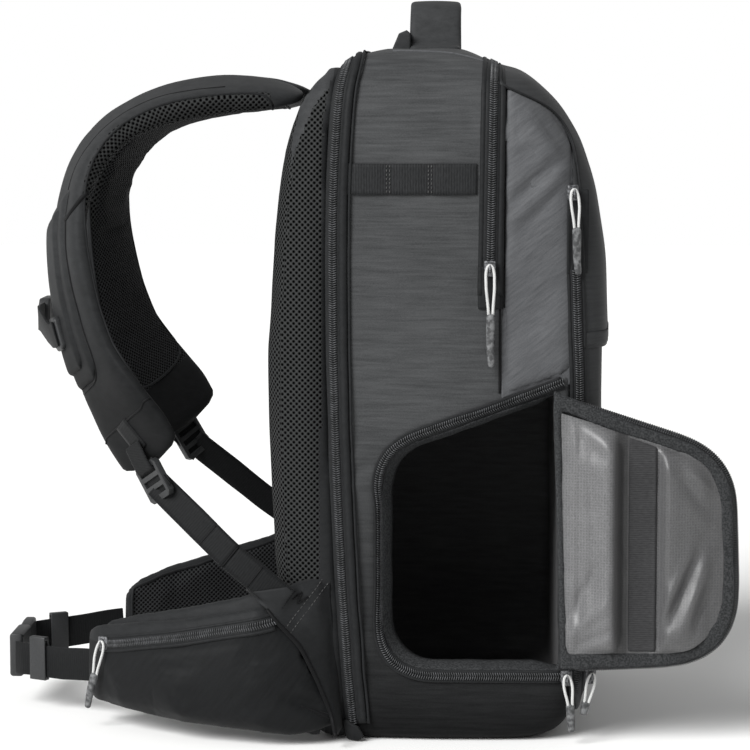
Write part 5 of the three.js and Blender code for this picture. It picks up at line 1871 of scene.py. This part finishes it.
def pullShape(loopLong, gripLong, sway):
    # cord through the bridge, both ends into a grip, hanging along -Y
    half = [(0.0, 3.2), (-2.0, 2.0), (-3.2, -4), (-3.0, -0.45 * loopLong)]
    half += [(-1.9, -0.8 * loopLong), (-1.35, -loopLong - 3)]
    path = half[::-1] + [(-x, y) for x, y in half[1:]]
    path = [(x, y, 3.4 + 1.2 * math.sin(abs(y) * 0.12)) for x, y in path]
    path = drawnLine(path, 1.2, 3)
    cordPiece = paint(sweep("pullCord", path, (0, 0, 1), circle(1.1)), [cloth["cord"]])
    run = np.linspace(-loopLong + 1, -loopLong - gripLong, 22)
    spine = np.stack([sway * np.sin((run + loopLong) * 0.07), run, 3.4 + 0.6 * np.sin(run * 0.15)], 1) * mm
    taper = 1 - 0.28 * np.linspace(0, 1, 22) ** 2
    taper[[0, -1]] *= 0.7
    hold = refined(sweep("pullGrip", spine, (0, 0, 1), flatProfile(5.4, 3.6, 0.8), scale=taper))
    return cordPiece, paint(hold, [cloth["grip"]])


def placed(piece, name, at, down, out):
    # carries a shape made along -Y, facing Z, to its place
    out = unit(np.asarray(out, float))
    along = -unit(np.asarray(down, float) - out * np.dot(down, out))
    across = np.cross(along, out)
    turn = Matrix(np.c_[across, along, out].tolist()).to_4x4()
    piece.data.transform(Matrix.Translation(Vector(at)) @ turn)
    piece.name = piece.data.name = name
    return piece


def addPull(name, at, out, pull, node, hand=""):
    kept = keepPair if hand else keep
    sliderPiece = paint(sliderShape(), [cloth["metal"]])
    cordPiece, hold = pullShape(pull["loop"], pull["grip"], pull["sway"])
    placed(sliderPiece, name + "Slider" + hand, at + out * 1.6 * mm, (0, 0, -1), out)
    placed(cordPiece, name + "Cord" + hand, at + out * 1.4 * mm, pull["lean"], out)
    placed(hold, name + "Grip" + hand, at + out * 1.4 * mm, pull["lean"], out)
    kept(sliderPiece, "zip_slider", node + "_slider")
    kept(cordPiece, "cord", node + "_pull")
    kept(hold, "cord")


for pull in pulls:
    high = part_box(pull["node"] + "_slider")[1]
    x, z = (s * mm for s in pull["at"])
    at, out = castSide(flapTree, x, z)
    at = np.array([x, min(at[1], high[1] - 1 * mm), z])
    out = unit(np.array([0.35 * out[0], -1, 0]))
    addPull(pull["node"].split("_")[0] + "Pull", at, out, pull, pull["node"])
at, _ = castSide(pouchTree, *(s * mm for s in hipPull["at"]))
addPull("hipPull", at, unit(np.array(hipOut)), hipPull, "hip_zip", "Left")
print("pulls made")

# Stage, light and camera
studio = {"backdrop": 1.0, "sky": 0.42, "sun": 4.2, "box": 5}
bpy.ops.mesh.primitive_plane_add(size=14, location=(0, 0, 0))
floor = bpy.context.active_object
floor.name = "studioFloor"
floorMaterial, floorTree, floorShader = newMaterial("painted floor, pale", 0.9, 0.1)
floorSpeck = addNode(floorTree, "ShaderNodeTexNoise", {"Scale": 3.0})
floorColour = blendColours(floorTree, floorSpeck.outputs[0], "f6f6f5", "fcfcfb")
floorTree.links.new(floorColour, floorShader.inputs["Base Color"])
floor.data.materials.append(floorMaterial)

# a white backdrop all round that gives only a soft fill
world = bpy.data.worlds.new("studio")
scene.world = world
world.use_nodes = True
skyTree = world.node_tree
sky = skyTree.nodes["Background"]
sky.inputs[0].default_value = (1, 1, 1, 1)
seen = addNode(skyTree, "ShaderNodeLightPath").outputs["Is Camera Ray"]
skyTree.links.new(ranged(skyTree, seen, 0.0, 1.0, studio["sky"], studio["backdrop"]), sky.inputs[1])


def addLight(name, kind, place, aim, power, **settings):
    light = bpy.data.lights.new(name, kind)
    light.energy = power
    for key, value in settings.items():
        setattr(light, key, value)
    lamp = bpy.data.objects.new(name, light)
    lamp.location = place
    lamp.rotation_euler = (Vector(aim) - Vector(place)).to_track_quat("-Z", "Y").to_euler()
    scene.collection.objects.link(lamp)


# one broad soft source high on the left for form, a small box for the shine on coated cloth and plastic
addLight("keySun", "SUN", (-1.3, -1.5, 1.6), (0, 0, 0.2), studio["sun"], angle=math.radians(35))
addLight("shineBox", "AREA", (-1.1, -2.0, 1.7), (0, 0, 0.3), studio["box"], shape="SQUARE", size=1.1)

view = {"place": (0.0147, -2.2, 0.476), "down": 5.6, "left": 2.05, "lens": 134.4, "sensor": 36}
cameraData = bpy.data.cameras.new("photoCamera")
cameraData.lens = view["lens"]
cameraData.sensor_width = view["sensor"]
camera = bpy.data.objects.new("photoCamera", cameraData)
camera.location = view["place"]
camera.rotation_euler = (math.radians(90 - view["down"]), 0, math.radians(view["left"]))
scene.collection.objects.link(camera)
scene.camera = camera
scene.view_settings.view_transform = "Standard"
print("stage set")
